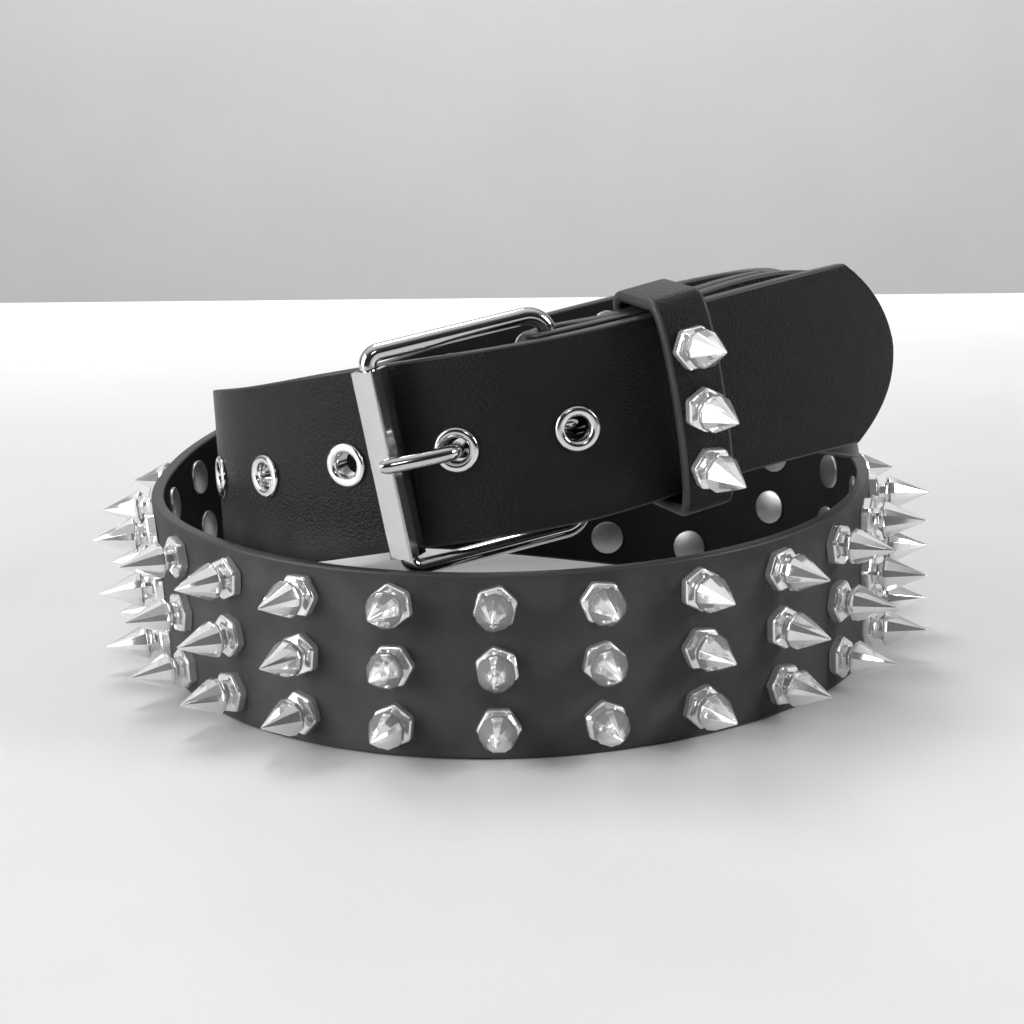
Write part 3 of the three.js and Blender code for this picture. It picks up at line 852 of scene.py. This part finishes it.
def make_layout() -> Layout:
    """Places the layout in the part's frame.

    The part is centred over its origin. The roller is symmetric about its middle, so the middle of
    its CAD box tells how far the coil was moved.

    Returns:
        The layout, moved by as much.
    """
    coil = Coil()
    low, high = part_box("buckle_roller")
    middle = (np.array(low) + np.array(high)) / 2 / MM
    coil.shift = middle - Layout(coil).front
    LOG.info("the coil is moved by %s mm", np.round(coil.shift, 3))
    return Layout(coil)


# Pieces


@dataclass
class Strap:
    """The leather band, folded round the buckle's rear bar, coiled, and cut to a blunt point."""

    layout: Layout
    step: float = 1.8
    edge_radius: float = 0.5
    edge_steps: int = 3
    face_steps: int = 14
    fold_length: float = 50.0
    fold_close: float = 14.0
    fold_gap: float = 0.4
    fold_steps: int = 18
    nose_length: float = 15.0
    nose_steps: int = 26
    nose_roundness: float = 0.5
    nose_end_share: float = 0.08
    hole_radius: float = 3.1
    hole_sides: int = 32
    slot_width: float = 6.0
    slot_length: float = 9.0

    def build(self) -> bpy.types.Object:
        """Makes the strap, cuts its holes and dresses it.

        Returns:
            The strap.
        """
        point, up, half_width = self._line()
        after = np.concatenate([point[1:], point[-1:]])
        before = np.concatenate([point[:1], point[:-1]])
        out = unit(np.cross(unit(after - before), up))
        across, depth, kinds = self._section(half_width)
        rings = point[:, None] + across[..., None] * up[:, None] + depth[..., None] * out[:, None]
        finishes = [STRAP_FACE.material(), STRAP_BACK.material(), STRAP_EDGE.material()]
        strap = mesh_piece("strap_leather_band", [Surface(rings, finish_of=kinds)], finishes)
        self._cut(strap)
        declare(strap, Slot.STRAP, "strap")
        return strap

    def _line(self) -> tuple[Array, Array, Array]:
        """Works out the strap's middle line: inner layer, bend, coil and nose.

        The nose narrows as (1 - share)^roundness, with share the part of its length that is passed.

        Returns:
            The points, the directions up the strap's width, and the half widths.
        """
        layout, coil = self.layout, self.layout.coil
        flat = coil.thickness + self.fold_gap
        radius = layout.fold_radius
        inner = np.arange(self.fold_length, self.fold_close, -self.step)
        share = np.arange(self.fold_steps) / self.fold_steps
        ease = (1 - np.cos(pi * share)) / 2
        closing = self.fold_close * (1 - share)
        lengths = np.concatenate([inner, closing]) + layout.fold_start
        outs = -np.concatenate([np.full(len(inner), flat), flat + (2 * radius - flat) * ease])
        fold = coil.at(lengths)
        angle = np.linspace(0, pi, self.fold_steps + 1)
        first = layout.first_at_bar
        bend = first.at(-radius * np.sin(angle), 0 * angle, -radius - radius * np.cos(angle))
        run_end = coil.length - self.nose_length
        run = np.arange(layout.fold_start + self.step, run_end, self.step)
        coiled = coil.at(run)
        nose_share = np.sin(pi / 2 * np.arange(self.nose_steps + 1) / self.nose_steps)
        nose = coil.at(run_end + self.nose_length * nose_share)
        half = coil.strap_width / 2
        narrowing = (1 - nose_share) ** self.nose_roundness
        point = np.concatenate([fold.at(0, 0, outs), bend, coiled.point, nose.point])
        up = np.concatenate([fold.up, np.tile(first.up, (len(bend), 1)), coiled.up, nose.up])
        plain = np.full(len(point) - len(nose_share), half)
        return point, up, np.concatenate([plain, half * np.maximum(narrowing, self.nose_end_share)])

    def _section(self, half_width: Array) -> tuple[Array, Array, Array]:
        """Works out the section, a rectangle with rounded corners.

        From one corner arc to the next run the edge, the outer face, the other edge and the inner
        face.

        Args:
            half_width: The half width at each point of the middle line.

        Returns:
            The section's points across and deep, and each stretch's finish.
        """
        half = self.layout.coil.thickness / 2
        radius = self.edge_radius
        arc = np.linspace(0, pi / 2, self.edge_steps + 1)
        face = np.linspace(0, 1, self.face_steps + 1)[1:-1]
        parts, kinds = [], []
        for quarter, (side, level) in enumerate(((1, -1), (1, 1), (-1, 1), (-1, -1))):
            angle = arc - pi / 2 + quarter * pi / 2
            inset = radius * np.cos(angle) - side * radius
            depth = level * (half - radius) + radius * np.sin(angle)
            parts.append((np.full(len(arc), side), inset, depth))
            kinds += [2] * self.edge_steps
            if quarter in (1, 3):
                along = side * (1 - 2 * face)
                inset = -side * radius * (1 - 2 * face)
                parts.append((along, inset, np.full(len(face), level * half)))
                kinds += [0 if quarter == 1 else 1] * self.face_steps
            else:
                kinds += [2]
        share = np.concatenate([p[0] for p in parts])
        inset = np.concatenate([p[1] for p in parts])
        depth = np.concatenate([p[2] for p in parts])
        across = half_width[:, None] * share + inset
        return across, np.broadcast_to(depth, across.shape), np.array(kinds)

    def _cut(self, strap: bpy.types.Object) -> None:
        """Cuts the eyelets' holes and the prong's slot.

        Args:
            strap: The strap, whose mesh is replaced by the cut one.
        """
        layout = self.layout
        reach = layout.coil.thickness
        side = np.array([[self.hole_radius, -reach], [self.hole_radius, reach]])
        drum = revolve(side, self.hole_sides)
        cutters = [Surface(layout.eyelet(i).carry(drum)) for i in range(layout.eyelet_count)]
        wide, deep = self.slot_width / 2, layout.fold_radius + reach
        box = np.array([[-self.slot_length, -wide], [self.slot_length, -wide]])
        ring = np.concatenate([box, -box])
        levels = np.array([-deep, deep]) - layout.fold_radius
        rings = np.stack([np.column_stack([ring, np.full(4, level)]) for level in levels])
        cutters.append(Surface(layout.first_at_bar.carry(rings)))
        cutter = mesh_piece("cutter", cutters, [])
        cut = strap.modifiers.new("holes", "BOOLEAN")
        cut.operation = "DIFFERENCE"
        cut.object = cutter
        cut.solver = "EXACT"
        graph = bpy.context.evaluated_depsgraph_get()
        mesh = bpy.data.meshes.new_from_object(strap.evaluated_get(graph))
        strap.modifiers.clear()
        strap.data = mesh
        bpy.data.objects.remove(cutter)


@dataclass
class Spike:
    """A spike: hexagonal nut, coved waist, neck and faceted cone, with a disc on the other side."""

    nut_cut: float = 4.0
    waist_cut: float = 10.0
    cone_cut: float = 12.0
    disc_sides: int = 28
    worn: float = 0.1

    def head(self) -> Array:
        """Gives the head's profile, from its seat to its tip.

        Returns:
            Rows of (corner radius, height, corner cut).
        """
        nut, waist, cone = self.nut_cut, self.waist_cut, self.cone_cut
        return np.array(
            [
                [0.0, 0.0, nut], [4.95, 0.0, nut], [4.95, 1.75, nut], [4.6, 2.15, nut],
                [3.5, 2.25, waist], [2.95, 2.5, waist], [2.75, 3.1, waist], [2.8, 3.9, waist],
                [3.3, 4.45, waist], [4.25, 4.7, cone], [4.55, 5.0, cone], [4.55, 5.45, cone],
                [4.3, 6.1, cone], [0.3, 14.3, cone], [0.0, 14.6, cone],
            ]
        )

    def disc(self) -> Array:
        """The disc's (radius, depth) profile, with a rounded edge."""
        edge = [[4.2, 0.0], [4.2, -0.5], [4.05, -0.78], [3.7, -0.9]]
        return np.array([[0.0, 0.0], *edge, [0.0, -0.95]])

    def surfaces(
        self, place: Frames, up: float, out: float, wall: float, twist: float, tilt: float = 0.0
    ) -> list[Surface]:
        """Puts the head and the disc in place.

        Args:
            place: The place along the strap.
            up: How far up its width the spike sits.
            out: How far out of its middle.
            wall: The leather's thickness.
            twist: The spike's turn about its axis, in degrees.
            tilt: Its lean about the strap's direction, in radians.

        Returns:
            Two closed surfaces, the head's finish 0 and the disc's finish 1.
        """
        head = hexagon(self.head())
        disc = revolve(self.disc(), self.disc_sides)
        turn = Matrix.Rotation(radians(twist), 3, "Z")
        lean = Matrix.Rotation(tilt, 3, "X")
        matrix = np.array(lean @ turn)
        moved = []
        for rings, level, finish in ((head, wall / 2, 0), (disc, -wall / 2, 1)):
            points = (rings + [0, 0, level]) @ matrix.T + [0, up, out]
            moved.append(Surface(place.carry(points), finish_of=np.full(rings.shape[1], finish)))
        return moved


@dataclass
class SpikeField:
    """The three rows of spikes along the strap."""

    layout: Layout
    rows: int = 3
    row_pitch: float = 13.1
    columns: int = 26
    column_pitch: float = 22.0
    front_column: int = 15
    front_shift: float = -2.9
    first_own: int = 10
    last_own: int = 21
    twist_by_column: float = 37.0
    twist_by_row: float = 23.0

    def build(self, metals: list[bpy.types.Material]) -> list[bpy.types.Object]:
        """Makes a piece for each spike that is a CAD node, and one for each other column.

        Args:
            metals: The head's and the disc's materials.

        Returns:
            The pieces.
        """
        coil, spike = self.layout.coil, Spike()
        front = coil.length_at(coil.full_turn) + self.front_shift
        made = []
        for column in range(self.columns):
            place = coil.at(front + (column - self.front_column) * self.column_pitch).one()
            group = [self._spike(spike, place, column, row) for row in range(self.rows)]
            if self.first_own <= column <= self.last_own:
                number = column - self.first_own + 1
                for row, surfaces in enumerate(group):
                    node = f"spike_{number}_{row + 1}"
                    piece = mesh_piece(f"{node}_look", surfaces, metals, SPIKE_SHARP_DEGREES)
                    self._dress(piece, spike, node)
                    made.append(piece)
            else:
                surfaces = [surface for part in group for surface in part]
                name = f"rear_spikes_{column + 1}"
                piece = mesh_piece(name, surfaces, metals, SPIKE_SHARP_DEGREES)
                self._dress(piece, spike, "strap")
                made.append(piece)
        return made

    def _spike(self, spike: Spike, place: Frames, column: int, row: int) -> list[Surface]:
        """Works out one spike of a column.

        Args:
            spike: Its shape.
            place: The column's place.
            column: The column's number, from the buckle.
            row: The row's number, from the top.

        Returns:
            The spike's surfaces.
        """
        up = ((self.rows - 1) / 2 - row) * self.row_pitch
        twist = column * self.twist_by_column + row * self.twist_by_row
        return spike.surfaces(place, up, 0.0, self.layout.coil.thickness, twist)

    @staticmethod
    def _dress(piece: bpy.types.Object, spike: Spike, node: str) -> None:
        soften(piece, spike.worn)
        declare(piece, Slot.SPIKE, node)


@dataclass
class Eyelets:
    """The rimmed eyelets in the tail's holes."""

    layout: Layout
    sides: int = 48

    def profile(self) -> Array:
        """Gives the closed profile: back flange, barrel, plain domed rim.

        Returns:
            Rows of (radius, height).
        """
        front = self.layout.coil.thickness / 2
        return np.array(
            [
                [2.5, -front - 0.75], [4.0, -front - 0.75], [4.0, -front],
                [3.0, -front], [3.0, front], [4.85, front], [4.88, front + 0.28],
                [4.7, front + 0.58], [4.35, front + 0.76],
                [3.8, front + 0.8], [3.3, front + 0.74], [2.95, front + 0.5], [2.78, front + 0.1],
                [2.6, front - 0.4], [2.5, front - 0.9],
            ]
        )

    def build(self, metal: bpy.types.Material) -> list[bpy.types.Object]:
        """Makes a piece for each eyelet, its profile carried round as a closed loop of rings.

        Args:
            metal: The eyelets' material.

        Returns:
            The pieces.
        """
        turned = revolve(self.profile(), self.sides).transpose(1, 0, 2)
        made = []
        for index in range(self.layout.eyelet_count):
            rim = [Surface(self.layout.eyelet(index).carry(turned), is_loop=True)]
            name = f"eyelet_{index + 1}"
            piece = mesh_piece(f"{name}_look", rim, [metal], EYELET_SHARP_DEGREES)
            declare(piece, Slot.EYELET, name)
            made.append(piece)
        return made


@dataclass
class Buckle:
    """The rod frame, the sleeve on its front bar and the prong."""

    layout: Layout
    frame_height: float = 47.0
    front_corner: float = 2.7
    rear_corner: float = 4.6
    corner_steps: int = 10
    rod_sides: int = 20
    roller_length: float = 41.0
    roller_turn: float = -5.0
    roller_wall: float = 0.8
    roller_corner: float = 0.45
    roller_ridge: float = 0.12
    roller_lip: float = 0.15
    bore_corner: float = 0.2
    square_steps: int = 4
    prong_radius: float = 1.7
    prong_bend: float = 2.6
    prong_lay: float = 60.0
    prong_run_steps: int = 4
    prong_run_start: float = 0.25
    prong_bend_steps: int = 4
    prong_ring_steps: int = 40
    prong_step: float = 0.8
    prong_taper: tuple[float, ...] = (0.97, 0.86, 0.6)
    flange_height: float = 0.8
    rim_height: float = 1.2
    rest_along: float = 0.8
    rest_out: float = 6.2

    def build(self) -> list[bpy.types.Object]:
        """Makes the three pieces.

        Returns:
            The frame, the roller and the prong.
        """
        metal = BUCKLE_PLATING.material()
        loop = self._frame_line()
        rings = sweep(loop, self.layout.normal, self.layout.rod_radius, self.rod_sides, True)
        frame_piece = mesh_piece("buckle_frame_look", [Surface(rings, is_loop=True)], [metal])
        declare(frame_piece, Slot.BUCKLE, "buckle_frame")
        sleeve = [Surface(self._roller(), is_loop=True)]
        plating = [ROLLER_PLATING.material()]
        roller = mesh_piece("buckle_roller_look", sleeve, plating, ROLLER_SHARP_DEGREES)
        declare(roller, Slot.BUCKLE, "buckle_roller")
        prong = mesh_piece("buckle_prong_look", self._prong(), [metal])
        declare(prong, Slot.BUCKLE, "buckle_prong")
        return [frame_piece, roller, prong]

    def _frame_line(self) -> Array:
        """Works out the frame's middle line, a rectangle whose corners are quarter circles.

        Returns:
            The line's points.
        """
        layout = self.layout
        points = []
        for i, (far, side) in enumerate(((0, -1), (1, -1), (1, 1), (0, 1))):
            radius = self.rear_corner if far else self.front_corner
            angle = -pi + pi / 2 * (i + np.arange(self.corner_steps + 1) / self.corner_steps)
            deep = (layout.reach - radius if far else radius) + radius * np.cos(angle)
            high = side * (self.frame_height / 2 - radius) + radius * np.sin(angle)
            flat = deep[:, None] * layout.depth + high[:, None] * layout.height
            points.append(layout.front + flat)
        return np.concatenate(points)

    def _square(self, reach: float, corner: float) -> Array:
        """Works out a square's outline with rounded corners and a faint ridge along each side.

        Each corner is an arc about (side, side), turned by quarters. The ridge stands out from the
        side's middle.

        Args:
            reach: How far the sharp corners would be from the middle.
            corner: The corners' radius.

        Returns:
            The outline's points.
        """
        side = reach / np.sqrt(2) - corner
        arc = np.linspace(-pi / 4, pi / 4, self.square_steps + 1)
        points = []
        for middle in radians(90) * np.arange(4) + pi / 4:
            heart = side * np.sqrt(2) * np.array([cos(middle), sin(middle)])
            angle = middle + arc
            points.append(heart + corner * np.stack([np.cos(angle), np.sin(angle)], axis=-1))
            flat = middle + pi / 4
            points.append((side + corner + self.roller_ridge) * np.array([[cos(flat), sin(flat)]]))
        return np.concatenate(points)

    def _roller(self) -> Array:
        """Works out the sleeve: out along its outer square and back along its inner one.

        Returns:
            Four rings of a closed loop.
        """
        layout = self.layout
        turn = radians(self.roller_turn) - pi / 4
        spin = np.array([[cos(turn), sin(turn)], [-sin(turn), cos(turn)]])
        outer = self._square(layout.roller_radius, self.roller_corner) @ spin
        bore = layout.roller_radius - self.roller_wall * np.sqrt(2)
        inner = self._square(bore, self.bore_corner) @ spin
        half, lip = self.roller_length / 2, self.roller_lip
        rows = []
        way = ((outer, lip - half), (outer, half - lip), (inner, half), (inner, -half))
        for outline, level in way:
            flat = outline[:, :1] * layout.depth - outline[:, 1:] * layout.normal
            rows.append(layout.front + flat + level * layout.height)
        return np.stack(rows)

    def _prong(self) -> list[Surface]:
        """Works out the ring round the rear bar and the arm through the eyelet.

        Returns:
            Two closed surfaces.
        """
        layout = self.layout
        place = layout.first_at_bar
        radius = layout.rod_radius + layout.fit_gap + self.prong_radius
        angle = ring_of(self.prong_ring_steps)[:, None]
        circle = layout.bar + radius * (place.along * np.cos(angle) + place.out * np.sin(angle))
        ring = sweep(circle, place.up, self.prong_radius, self.rod_sides, True)
        line = resample(self._arm_points(), self.prong_step)
        taper = np.full(len(line), self.prong_radius)
        taper[-len(self.prong_taper):] = self.prong_radius * np.array(self.prong_taper)
        arm = sweep(line, place.up, taper, self.rod_sides)
        return [Surface(ring, is_loop=True), Surface(arm)]

    def _arm_points(self) -> Array:
        """Works out the arm's way: behind the tail, through its eyelet and on to the roller.

        Returns:
            The points that it passes through.
        """
        layout, coil = self.layout, self.layout.coil
        half = coil.thickness / 2
        eyelet = layout.eyelet(layout.prong_eyelet)
        behind = -(half + layout.seat_gap + self.flange_height + layout.fit_gap + self.prong_radius)
        end = layout.eyelet_length(layout.prong_eyelet) + self.prong_bend
        share = (np.arange(self.prong_run_steps) + self.prong_run_start) / self.prong_run_steps
        run = coil.at(layout.bar_length + (end - layout.bar_length) * share).at(0, 0, behind)
        rise = np.linspace(0, pi / 2, self.prong_bend_steps + 1)
        into = behind + self.prong_bend * (1 - np.cos(rise))
        lay = np.linspace(0, radians(self.prong_lay), self.prong_bend_steps + 1)
        before = half + layout.seat_gap + self.rim_height
        out_of = before + self.prong_bend * np.sin(lay)
        through = [
            eyelet.at(self.prong_bend * (1 - np.sin(rise)), 0 * rise, into),
            eyelet.at(-self.prong_bend * (1 - np.cos(lay)), 0 * lay, out_of),
        ]
        rest = half + layout.roller_stand_off + layout.roller_radius + self.rest_out
        tip = layout.tail_at_roller.at(self.rest_along, 0, rest)
        return np.concatenate([run, *through, tip[None]])


@dataclass
class Keeper:
    """The leather loop round the tail, with its own three spikes."""

    layout: Layout
    from_bar: float = 24.0
    width: float = 12.0
    thickness: float = 2.4
    edge_gap: float = 1.6
    back_gap: float = 0.6
    shoulder: float = 1.0
    bulge: float = 5.6
    fullness: float = 0.75
    corner: float = 3.0
    fold_gap: float = 0.4
    edge_radius: float = 0.8
    corner_steps: int = 10
    section_steps: int = 3
    arch_steps: int = 48
    face_steps: int = 10

    def build(self, metals: list[bpy.types.Material]) -> list[bpy.types.Object]:
        """Makes the loop and its spikes.

        Args:
            metals: The spikes' two materials.

        Returns:
            The pieces.
        """
        place = self.layout.coil.at(self.layout.bar_length + self.from_bar).one()
        finishes = [STRAP_FACE.material(), STRAP_EDGE.material()]
        surface = Surface(self._rings(place), is_loop=True, finish_of=self._kinds())
        loop = mesh_piece("keeper_loop", [surface], finishes, KEEPER_SHARP_DEGREES)
        declare(loop, Slot.KEEPER, "keeper")
        made = [loop]
        spikes, spike = SpikeField(self.layout), Spike()
        for row in range(spikes.rows):
            up = ((spikes.rows - 1) / 2 - row) * spikes.row_pitch
            out, tilt = self._face(up)
            twist = row * spikes.twist_by_row
            surfaces = spike.surfaces(place, up, out, self.thickness, twist, -tilt)
            node = f"keeper_spike_{row + 1}"
            piece = mesh_piece(f"{node}_look", surfaces, metals, SPIKE_SHARP_DEGREES)
            soften(piece, spike.worn)
            declare(piece, Slot.SPIKE, node)
            made.append(piece)
        return made

    def _outline(self, corner_steps: int, arch_steps: int) -> Array:
        """Works out the middle line round the loop: two corners behind, and an arch in front.

        The arch is (s cos a, shoulder + bulge sin(a)^fullness).

        Args:
            corner_steps: The steps of each corner.
            arch_steps: The steps of the arch.

        Returns:
            The line's points, as (up, out).
        """
        coil = self.layout.coil
        wall = self.thickness / 2
        side = coil.strap_width / 2 + self.edge_gap + wall
        stack = coil.thickness / 2 + coil.lap_gap + 2 * coil.thickness + self.fold_gap
        back = -(stack + self.back_gap + wall)
        front = coil.thickness / 2 + self.shoulder + wall
        parts = []
        for middle, start in ((self.corner - side, pi), (side - self.corner, 1.5 * pi)):
            angle = start + np.linspace(0, pi / 2, corner_steps + 1)
            up = middle + self.corner * np.cos(angle)
            parts.append(np.stack([up, back + self.corner + self.corner * np.sin(angle)], axis=-1))
        angle = np.linspace(0, pi, arch_steps + 1)
        bulge = self.bulge * np.sin(angle).clip(0) ** self.fullness
        parts.append(np.stack([side * np.cos(angle), front + bulge], axis=-1))
        return np.concatenate(parts)

    def _rings(self, place: Frames) -> Array:
        """Carries the band's section round the outline.

        Args:
            place: The loop's place along the strap.

        Returns:
            A ring for each point of the outline.
        """
        outline = self._outline(self.corner_steps, self.arch_steps)
        run = unit(np.roll(outline, -1, axis=0) - np.roll(outline, 1, axis=0))
        outward = np.stack([run[:, 1], -run[:, 0]], axis=-1)
        section = self._section()
        flat = outline[:, None] + section[None, :, 1:] * outward[:, None]
        along = np.broadcast_to(section[:, 0], flat.shape[:2])
        return place.carry(np.concatenate([along[..., None], flat], axis=-1))

    def _section(self) -> Array:
        """Works out the band's section, a rectangle with rounded corners.

        Returns:
            The section's points, as (along, depth).
        """
        arc = np.linspace(0, pi / 2, self.section_steps + 1)
        reach = np.array([self.width / 2, self.thickness / 2]) - self.edge_radius
        parts = []
        for quarter, sides in enumerate(((1, 1), (-1, 1), (-1, -1), (1, -1))):
            angle = arc + quarter * pi / 2
            bend = self.edge_radius * np.stack([np.cos(angle), np.sin(angle)], axis=-1)
            parts.append(reach * sides + bend)
        return np.concatenate(parts)

    def _kinds(self) -> Array:
        """The finish of each stretch of the section: face leather between the painted edges."""
        half = [1] * self.section_steps + [0] + [1] * (self.section_steps + 1)
        return np.array(half * 2)

    def _face(self, up: float) -> tuple[float, float]:
        """Finds the loop's middle line in front of the tail, on the arch drawn in few steps.

        Args:
            up: How far up the strap's width.

        Returns:
            How far out it is, and how it tilts there, in radians.
        """
        arch = self._outline(1, self.face_steps)[4:]
        i = int(np.argmax(arch[:, 0] <= up))
        (up_a, out_a), (up_b, out_b) = arch[i - 1], arch[i]
        out = out_a + (out_b - out_a) * (up - up_a) / (up_b - up_a)
        return float(out), float(np.arctan2(out_b - out_a, up_a - up_b))


def matrix_of(right: Array, up: Array, back: Array, place: Array) -> Matrix:
    """Makes the matrix of a camera or a light, which looks the other way from back.

    Args:
        right: Its X direction.
        up: Its Y direction.
        back: Its Z direction.
        place: Its place, in metres.

    Returns:
        The matrix.
    """
    matrix = np.eye(4)
    matrix[:3] = np.stack([right, up, back, place], axis=1)
    return Matrix(matrix.tolist())


@dataclass(frozen=True)
class SoftBox:
    """A square light, with its places and size in metres."""

    name: str
    place: tuple[float, float, float]
    aim: tuple[float, float, float]
    size: float
    watts: float

    def build(self) -> None:
        """Adds the light, facing its aim."""
        data = bpy.data.lights.new(self.name, "AREA")
        data.shape = "SQUARE"
        data.size = self.size
        data.energy = self.watts
        axis = unit(np.array(self.place) - np.array(self.aim))
        side = unit(np.cross([0.01, 1.0, 0.01], axis))
        light = bpy.data.objects.new(self.name, data)
        light.matrix_world = matrix_of(side, np.cross(axis, side), axis, np.array(self.place))
        bpy.context.scene.collection.objects.link(light)


@dataclass
class Studio:
    """The floor, the wall, the lights and the camera."""

    focal_pixels: float = 2733.0
    image_pixels: float = 1024.0
    sensor: float = 36.0
    pitch: float = 15.32
    roll: float = -1.93
    camera_route: tuple[float, float, float] = (1.16, -615.7, 203.1)
    # Where the floor ends at the image's left and right edges, in pixels.
    wall_left: tuple[float, float] = (0.0, 303.0)
    wall_right: tuple[float, float] = (1024.0, 293.0)
    floor_reach: float = 3000.0
    # The sky's light by how far a direction goes with this axis, which points up and to the back.
    sky_axis: tuple[float, float, float] = (-0.12, 0.5, 0.8)
    sky: tuple[tuple[float, float], ...] = ((0.0, 0.03), (0.3, 0.1), (0.5, 0.55), (0.8, 1.0))
    sky_strength: float = 0.86
    wall_height: float = 5000.0
    wall_gap: float = 1500.0
    view_end_m: float = 50.0
    boxes: tuple[SoftBox, ...] = (
        SoftBox("top_box", (-0.15, 0.5, 1.2), (0, 0, 0), 0.36, 5.0),
        SoftBox("left_box", (-1.4, -0.6, 0.55), (0, 0, 0.04), 1.1, 19.0),
        SoftBox("right_box", (1.1, -0.35, 0.6), (0, 0, 0.03), 0.4, 6.5),
        SoftBox("front_box", (0.15, -1.5, 1.0), (0, 0, 0.03), 0.3, 1.6),
        SoftBox("wall_box", (-0.1, 0.95, 0.8), (-0.1, 1.94, -0.15), 1.5, 15.0),
    )

    def build(self, shift: Array) -> None:
        """Makes the whole studio, shown with plain tones.

        Args:
            shift: How far the coil was moved, in millimetres.
        """
        bpy.context.scene.view_settings.view_transform = "Standard"
        self._set_camera(shift)
        self._set_ground()
        for box in self.boxes:
            box.build()
        self._set_world()

    def _axes(self) -> tuple[Array, Array, Array]:
        """Works out the camera's directions.

        Returns:
            Right, up and forward.
        """
        pitch, roll = radians(self.pitch), radians(self.roll)
        forward = np.array([0, cos(pitch), -sin(pitch)])
        level_up = np.array([0, sin(pitch), cos(pitch)])
        side = np.array([1.0, 0, 0])
        right = side * cos(roll) + level_up * sin(roll)
        up = level_up * cos(roll) - side * sin(roll)
        return right, up, forward

    def _set_camera(self, shift: Array) -> None:
        """Puts the camera where the photograph was taken from.

        Args:
            shift: How far the coil was moved.
        """
        right, up, forward = self._axes()
        self.eye = np.array(self.camera_route) + shift
        data = bpy.data.cameras.new("photo_camera")
        data.sensor_width = self.sensor
        data.lens = self.focal_pixels * self.sensor / self.image_pixels
        data.clip_end = self.view_end_m
        camera = bpy.data.objects.new("photo_camera", data)
        camera.matrix_world = matrix_of(right, up, -forward, self.eye * MM)
        bpy.context.scene.collection.objects.link(camera)
        bpy.context.scene.camera = camera

    def _on_floor(self, pixel: tuple[float, float]) -> Array:
        """Finds the floor's point that a pixel shows.

        Args:
            pixel: The pixel, across and down.

        Returns:
            The point, in millimetres.
        """
        right, up, forward = self._axes()
        middle = self.image_pixels / 2
        across = (pixel[0] - middle) / self.focal_pixels
        above = (middle - pixel[1]) / self.focal_pixels
        ray = forward + across * right + above * up
        return self.eye - ray * self.eye[2] / ray[2]

    def _set_ground(self) -> None:
        """Makes the floor, which ends where the photograph shows, and the wall far behind it."""
        left, right = self._on_floor(self.wall_left), self._on_floor(self.wall_right)
        along = unit(right - left)
        back = np.cross([0, 0, 1.0], along)
        middle = (left + right) / 2
        reach, rise = self.floor_reach, np.array([0, 0, self.wall_height])
        ends = [middle - along * reach, middle + along * reach]
        feet = [end + back * self.wall_gap - rise / 2 for end in ends]
        floor = [ends[0] - back * reach, ends[1] - back * reach, ends[1], ends[0]]
        wall = [feet[0], feet[1], feet[1] + rise, feet[0] + rise]
        for name, corners, finish in (("floor", floor, FLOOR_PAINT), ("wall", wall, WALL_PAINT)):
            mesh = bpy.data.meshes.new(name)
            mesh.from_pydata((np.array(corners) * MM).tolist(), [], [(0, 1, 2, 3)])
            mesh.materials.append(finish.material())
            plane = bpy.data.objects.new(name, mesh)
            bpy.context.scene.collection.objects.link(plane)

    def _set_world(self) -> None:
        """Fills the room with soft light, bright above and behind, and dark in front."""
        world = bpy.data.worlds.new("studio")
        bpy.context.scene.world = world
        shader = Shader(world)
        direction = shader.value("ShaderNodeTexCoord", "Generated")
        settings = {"operation": "DOT_PRODUCT"}
        inputs = {0: direction, 1: self.sky_axis}
        tilt = shader.value("ShaderNodeVectorMath", "Value", settings, inputs)
        colour = shader.ramp(tilt, [(place, grey(level)) for place, level in self.sky])
        inputs = {"Color": colour, "Strength": self.sky_strength}
        light = shader.value("ShaderNodeBackground", "Background", None, inputs)
        shader.node("ShaderNodeOutputWorld", None, {"Surface": light})


def main() -> None:
    """Builds the belt's pieces in order, then the studio."""
    logging.basicConfig(level=logging.INFO, format="%(name)s: %(message)s")
    layout = make_layout()
    Studio().build(layout.coil.shift)
    metals = [SPIKE_PLATING.material(), DISC_PLATING.material()]
    made = [Strap(layout).build()]
    made += SpikeField(layout).build(metals)
    made += Eyelets(layout).build(EYELET_PLATING.material())
    made += Buckle(layout).build()
    made += Keeper(layout).build(metals)
    LOG.info("%d pieces", len(made))


if __name__ == "__main__":
    main()
